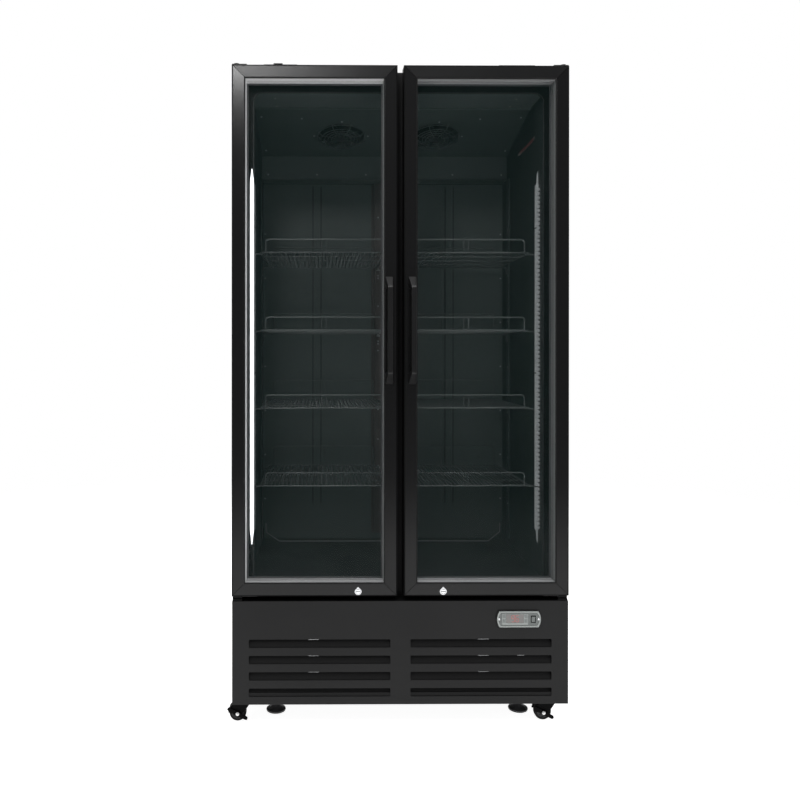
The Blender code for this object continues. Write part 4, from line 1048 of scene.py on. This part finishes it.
def make_fixings():
    """Screws on the shelf strips, the centre post, the duct panel and the ceiling."""
    for word, side in SIDES:
        shape = Shape()
        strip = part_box("shelf_strip_right")[0].x
        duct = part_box("rear_duct_panel")[0].y
        for i in range(7):
            z = 1.568 - 0.167 * i
            shape.screw((strip, at(0.534), z), (-1, 0, 0), 0.0030)
            shape.screw((0.0200, at(0.6184), z + 0.060), (0, -1, 0), 0.0026)
            shape.screw((0.4460, duct + 0.0040, z), (0, -1, 0), 0.0030)
        for y in (at(0.150), at(0.225)):
            shape.screw((0.380, y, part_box("insulated_roof")[0].z), (0, 0, -1), 0.0036)
        shape.piece(f"liner_screws_{word}", "screw_dull", side=side)


def make_liner_trim():
    """The ceiling's front, the cover's skirt in a lighter liner as painted light, the duct's rib
    seams, a pale line along the floor's chamfers as a painted highlight, and a plate at the duct's
    foot.
    """
    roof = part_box("insulated_roof")[0].z
    cover_low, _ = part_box("evaporator_cover")
    duct_low, duct_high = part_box("rear_duct_panel")
    half_x = 0.4515
    ceiling = Shape()
    ceiling.box((-half_x, at(0.107), roof - 0.0012), (half_x, at(0.252), roof - 0.0002), 0.0003)
    ceiling.box((-half_x, at(0.240), roof - 0.0050), (half_x, at(0.2455), roof - 0.0010), 0.0010)
    # The skirt and its roll take the duct panel's lighter liner colour, not the cover's: painted
    # light on the skirt's front.
    skirt, skirt_top, roll_z = at(SKIRT_DEPTH), 1.8420, cover_low.z + 0.0016
    ceiling.box((-half_x, skirt, cover_low.z + 0.0010), (half_x, skirt + 0.0012, skirt_top), 0.0004)
    ceiling.rod((-half_x, skirt + 0.0006, roll_z), (half_x, skirt + 0.0006, roll_z), 0.0019,
                sides=12)
    ceiling.box((-half_x, skirt + 0.0010, duct_high.z + 0.0004),
                (half_x, duct_low.y - 0.0002, duct_high.z + 0.0018), 0.0003)
    ceiling.piece("ceiling_trim", "liner_panel")
    grooves = Shape()
    for x in (-0.2655, -0.2350, 0.2350, 0.2655):
        grooves.box((x - 0.0012, duct_low.y - 0.0005, 0.549),
                    (x + 0.0012, duct_low.y + 0.0045, 1.747), 0.0003)
    grooves.piece("duct_rib_seams", "liner_floor")
    bead, backing = Shape(), Shape()
    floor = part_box("insulated_floor")[1].z
    # A pale line along the floor's chamfered corners in the spacer_dim metal: painted highlight on
    # the chamfer edges.
    half = [(0.389, at(0.585), floor + 0.0018), (0.4426, duct_low.y - 0.0012, 0.4400),
            (0.4426, duct_low.y - 0.0012, 0.4730)]
    bead.tube([(-x, y, z) for x, y, z in reversed(half)] + half, 0.0021, 10)
    bead.piece("floor_chamfer_painted_highlight", "spacer_dim")
    backing.box((-half_x, duct_high.y + 0.0003, floor + 0.0004),
                (half_x, duct_high.y + 0.0011, 0.4900), 0.0002)
    backing.piece("duct_foot_plate", "liner_panel")


def cover_slope():
    """The evaporator cover's normal, and a point on its underside for a depth."""
    front, rear = (0.256, 1.9185), (0.560, 1.845)
    run, fall = rear[0] - front[0], front[1] - rear[1]
    normal = Vector((0, -fall, -run)).normalized()

    def under(x, depth, lift=0.0):
        z = front[1] - fall * (depth - front[0]) / run
        return Vector((x, at(depth), z)) + normal * (0.00075 + lift)

    return normal, under


def make_evaporator():
    """Both evaporator fans, each with its guard, motor and screws on the sloping cover."""
    normal, under = cover_slope()
    across = Vector((1, 0, 0))
    up = normal.cross(across)
    for word, side in SIDES:
        low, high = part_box("evaporator_fan_right")
        centre = (low + high) / 2
        centre.x *= side
        add_rotor(f"evaporator_rotor_{word}", f"evaporator_fan_{word}", centre, normal,
                  0.072, 0.022, 0.022, 5)
        guard = Shape()
        middle = under(0.165, 0.420, 0.0145)
        for ring_r in (0.034, 0.046, 0.058, 0.070, 0.083):
            sink = 0.0090 if ring_r > 0.08 else 0.0
            ring = [middle - normal * sink + across * x + up * y for x, y in around(ring_r, 40)]
            guard.tube(ring, 0.0013, 6, True)
        for x, y in around(1.0, 8, 22.5):
            away = across * x + up * y
            guard.tube([middle + away * 0.020, middle + away * 0.072,
                        middle + away * 0.083 - normal * 0.009,
                        middle + away * 0.092 - normal * 0.0125], 0.0015, 6)
        guard.piece(f"fan_guard_{word}", "wire_coat", side=side)
        motor = Shape()
        motor.turned([(0.0, 0.0040), (0.010, 0.0036), (0.0200, 0.0010), (0.0215, -0.0020),
                      (0.0200, -0.0050), (0.0, -0.0050)], middle, normal, 32)
        for x, y in around(0.0130, 2, -35):
            motor.screw(middle + across * x + up * y + normal * 0.0026, normal, 0.0022)
        motor.piece(f"fan_motor_{word}", "moulded_grey", side=side)
        screws = Shape()
        for x, y in around(0.094, 4):
            screws.screw(under(0.165, 0.420) + across * x + up * y, normal, 0.0034)
        for x, depth in ((0.020, 0.300), (0.435, 0.300), (0.435, 0.520), (0.300, 0.310)):
            screws.screw(under(x, depth), normal, 0.0032)
        skirt = at(SKIRT_DEPTH)
        for x in (0.070, 0.250, 0.430):
            screws.screw((x, skirt, 1.775), (0, -1, 0), 0.0030)
        screws.piece(f"cover_screws_{word}", "screw_dull", side=side)


def make_lights():
    """Each light strip: a back plate, a lens with narrow tips, a row of beads, and clips."""
    low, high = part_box("light_strip_right")
    middle_y, half_y = (low.y + high.y) / 2, (high.y - low.y) / 2
    wall = high.x
    taper = 0.030
    lens_y = middle_y + 0.006     # the lens sits behind the plate's middle
    for word, side in SIDES:
        plate = Shape()
        edge = [(middle_y - half_y, low.z + taper), (middle_y - 0.006, low.z),
                (middle_y + 0.006, low.z), (middle_y + half_y, low.z + taper),
                (middle_y + half_y, high.z - taper), (middle_y + 0.006, high.z),
                (middle_y - 0.006, high.z), (middle_y - half_y, high.z - taper)]
        plate.plate([edge], wall - 0.0014, wall, 0.0004, "X")
        plate.piece(f"light_channel_{word}", "channel_grey", "cabinet", side,
                    (f"light_strip_{word}",))
        lens = Shape()
        root, centre_y = wall - 0.0015, lens_y + 0.0098
        section = [(root, lens_y + 0.0010), (wall - 0.0080, lens_y + 0.0016),
                   (wall - 0.0106, lens_y + 0.0050), (wall - 0.0106, lens_y + 0.0130),
                   (wall - 0.0080, lens_y + 0.0178), (root, lens_y + 0.0186)]
        rings = []
        for z, share in ((low.z, 0.12), (low.z + 0.014, 0.42), (low.z + 0.040, 0.50),
                         (low.z + 0.044, 1.0), (high.z - 0.044, 1.0), (high.z - 0.040, 0.50),
                         (high.z - 0.014, 0.42), (high.z, 0.12)):
            rings.append([(root + (x - root) * share, centre_y + (y - centre_y) * share, z)
                          for x, y in section])
        lens.loft(rings)
        lens.piece(f"light_lens_{word}", "lens_dim", "cabinet", side, sharp=50)
        beads = Shape()
        pitch = 0.0135
        count = int((high.z - low.z - 0.090) / pitch)
        for i in range(count):
            z = low.z + 0.046 + pitch * (i + 0.5)
            beads.box((wall - 0.0092, lens_y - 0.0150, z - 0.0044),
                      (wall - 0.0014, lens_y - 0.0020, z + 0.0044), 0.0014, 1)
        beads.piece(f"light_beads_{word}", "lens_dim", side=side)
        clips = Shape()
        for z in (low.z + 0.180, 1.054, high.z - 0.180):
            clips.box((wall - 0.0112, lens_y + 0.0004, z - 0.0018),
                      (wall - 0.0014, lens_y + 0.0192, z + 0.0018), 0.0006)
        clips.piece(f"light_clips_{word}", "bezel", side=side)


def make_painted_highlight_strip():
    """A clear strip that glows beside the left lamp, along the edge of the front frame: a painted
    highlight.
    """
    lamp_low, lamp_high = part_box("light_strip_right")
    ring_front = depth_of(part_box("front_frame")[0].y)
    bar = Shape()
    rings = []
    bottom, top = lamp_low.z + 0.024, lamp_high.z - 0.020
    x, back = 0.4450, ring_front - 0.0003
    for z, half in ((bottom, 0.0010), (bottom + 0.020, 0.0030), (bottom + 0.040, 0.0056),
                    (top - 0.040, 0.0056), (top - 0.016, 0.0030), (top, 0.0010)):
        rings.append([(x - half, at(back), z), (x - half * 0.8, at(back - 0.0040), z),
                      (x + half * 0.8, at(back - 0.0040), z), (x + half, at(back), z)])
    bar.loft(rings)
    bar.piece("painted_highlight_strip_left", "painted_highlight_glow", "cabinet", -1, sharp=50)


def make_probe():
    """The temperature probe's lead, from its gland in the right wall to its bulb."""
    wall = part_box("light_strip_right")[1].x
    gland, tip = Vector((wall - 0.0006, at(0.210), 1.8115)), Vector((0.427, at(0.280), 1.783))
    straight = (tip - gland).normalized()
    lead = Shape()
    lead.tube([gland, gland.lerp(tip, 0.5) + Vector((0, 0, -0.0008)), tip], 0.0044, 12)
    lead.piece("probe_lead", "probe_red")
    bulb = Shape()
    bulb.rod(tip - straight * 0.004, tip + straight * 0.010, 0.0048, 0.0040, 16, 0.0008)
    bulb.turned([(0.0, 0.0030), (0.0066, 0.0028), (0.0080, 0.0), (0.0, 0.0)],
                gland + Vector((0.0004, 0, 0)), (-1, 0, 0), 24)
    bulb.piece("probe_bulb", "liner_post")


# ---- Stage -------------------------------------------------------------------------------
def make_camera():
    data = bpy.data.cameras.new("camera")
    data.sensor_width = 36.0
    data.lens = 34.26
    data.shift_x = 0.092
    data.shift_y = -0.0562
    camera = bpy.data.objects.new("camera", data)
    camera.location = (-0.239, FRONT_Y - 2.250, 1.115)
    camera.rotation_euler = [math.radians(turn) for turn in (89.897, -0.023, -0.485)]
    bpy.context.scene.collection.objects.link(camera)
    bpy.context.scene.camera = camera


def add_light(name, place, target, size, watts):
    data = bpy.data.lights.new(name, "AREA")
    data.shape = "RECTANGLE"
    data.size, data.size_y = size
    data.energy = watts
    light = bpy.data.objects.new(name, data)
    light.location = place
    aim = Vector(target) - Vector(place)
    light.rotation_euler = aim.to_track_quat("-Z", "Y").to_euler()
    bpy.context.scene.collection.objects.link(light)


def make_lighting():
    scene = bpy.context.scene
    scene.view_settings.view_transform = "Standard"
    world = bpy.data.worlds.new("studio")
    world.use_nodes = True
    scene.world = world
    nodes, links = world.node_tree.nodes, world.node_tree.links
    seen, lit = nodes["Background"], nodes.new("ShaderNodeBackground")
    seen.inputs["Color"].default_value = (1, 1, 1, 1)
    lit.inputs["Color"].default_value = (0.23, 0.233, 0.238, 1)
    path, blend = nodes.new("ShaderNodeLightPath"), nodes.new("ShaderNodeMixShader")
    links.new(path.outputs["Is Camera Ray"], blend.inputs["Fac"])
    links.new(lit.outputs["Background"], blend.inputs[1])
    links.new(seen.outputs["Background"], blend.inputs[2])
    links.new(blend.outputs["Shader"], nodes["World Output"].inputs["Surface"])
    add_light("overhead", (0.0, -0.6, 4.2), (0, -0.6, 0), (4.2, 4.2), 210)
    add_light("key_left", (-0.66, FRONT_Y - 2.25, 2.92), (-0.45, FRONT_Y, 2.0), (0.50, 0.30), 19)
    add_light("fill_left", (-2.6, -2.2, 2.2), (0, -0.2, 1.2), (1.2, 1.8), 7)
    add_light("fill_right", (2.6, -2.4, 1.6), (0, -0.2, 1.0), (1.2, 2.2), 7)
    add_light("rim_back", (0.0, 3.2, 2.6), (0, 0.4, 1.0), (3.0, 1.6), 40)


def make_floor():
    """A pale floor that fades into the white studio away from the cabinet."""
    mesh = bpy.data.meshes.new("floor")
    work = bmesh.new()
    bmesh.ops.create_circle(work, cap_ends=True, segments=96, radius=5.0)
    work.to_mesh(mesh)
    work.free()
    floor = bpy.data.objects.new("floor", mesh)
    bpy.context.scene.collection.objects.link(floor)
    made, nodes, links, shader = new_material("floor", {
        "Roughness": 0.6, "Base Color": (0.55, 0.55, 0.55, 1), "Emission Color": (1, 1, 1, 1),
        "Emission Strength": 0.94})
    place, length = add_node(nodes, "TexCoord", {}), add_node(nodes, "VectorMath", {})
    length.operation = "LENGTH"
    fade = add_node(nodes, "MapRange", {"From Min": 2.2, "From Max": 4.6, "To Min": 1.0,
                                        "To Max": 0.0})
    fade.interpolation_type = "SMOOTHSTEP"
    links.new(place.outputs["Object"], length.inputs[0])
    links.new(length.outputs["Value"], fade.inputs["Value"])
    links.new(fade.outputs["Result"], shader.inputs["Alpha"])
    mesh.materials.append(made)


make_finishes()
make_camera()
make_lighting()
make_floor()
make_shell()
for side_word, side_sign in SIDES:
    make_door(side_word, side_sign)
    make_hinges(side_word, side_sign)
make_front_panel()
make_controller()
make_casters()
make_feet()
make_cooling_unit()
make_shelves()
make_shelf_clips()
make_fixings()
make_liner_trim()
make_evaporator()
make_lights()
make_painted_highlight_strip()
make_probe()
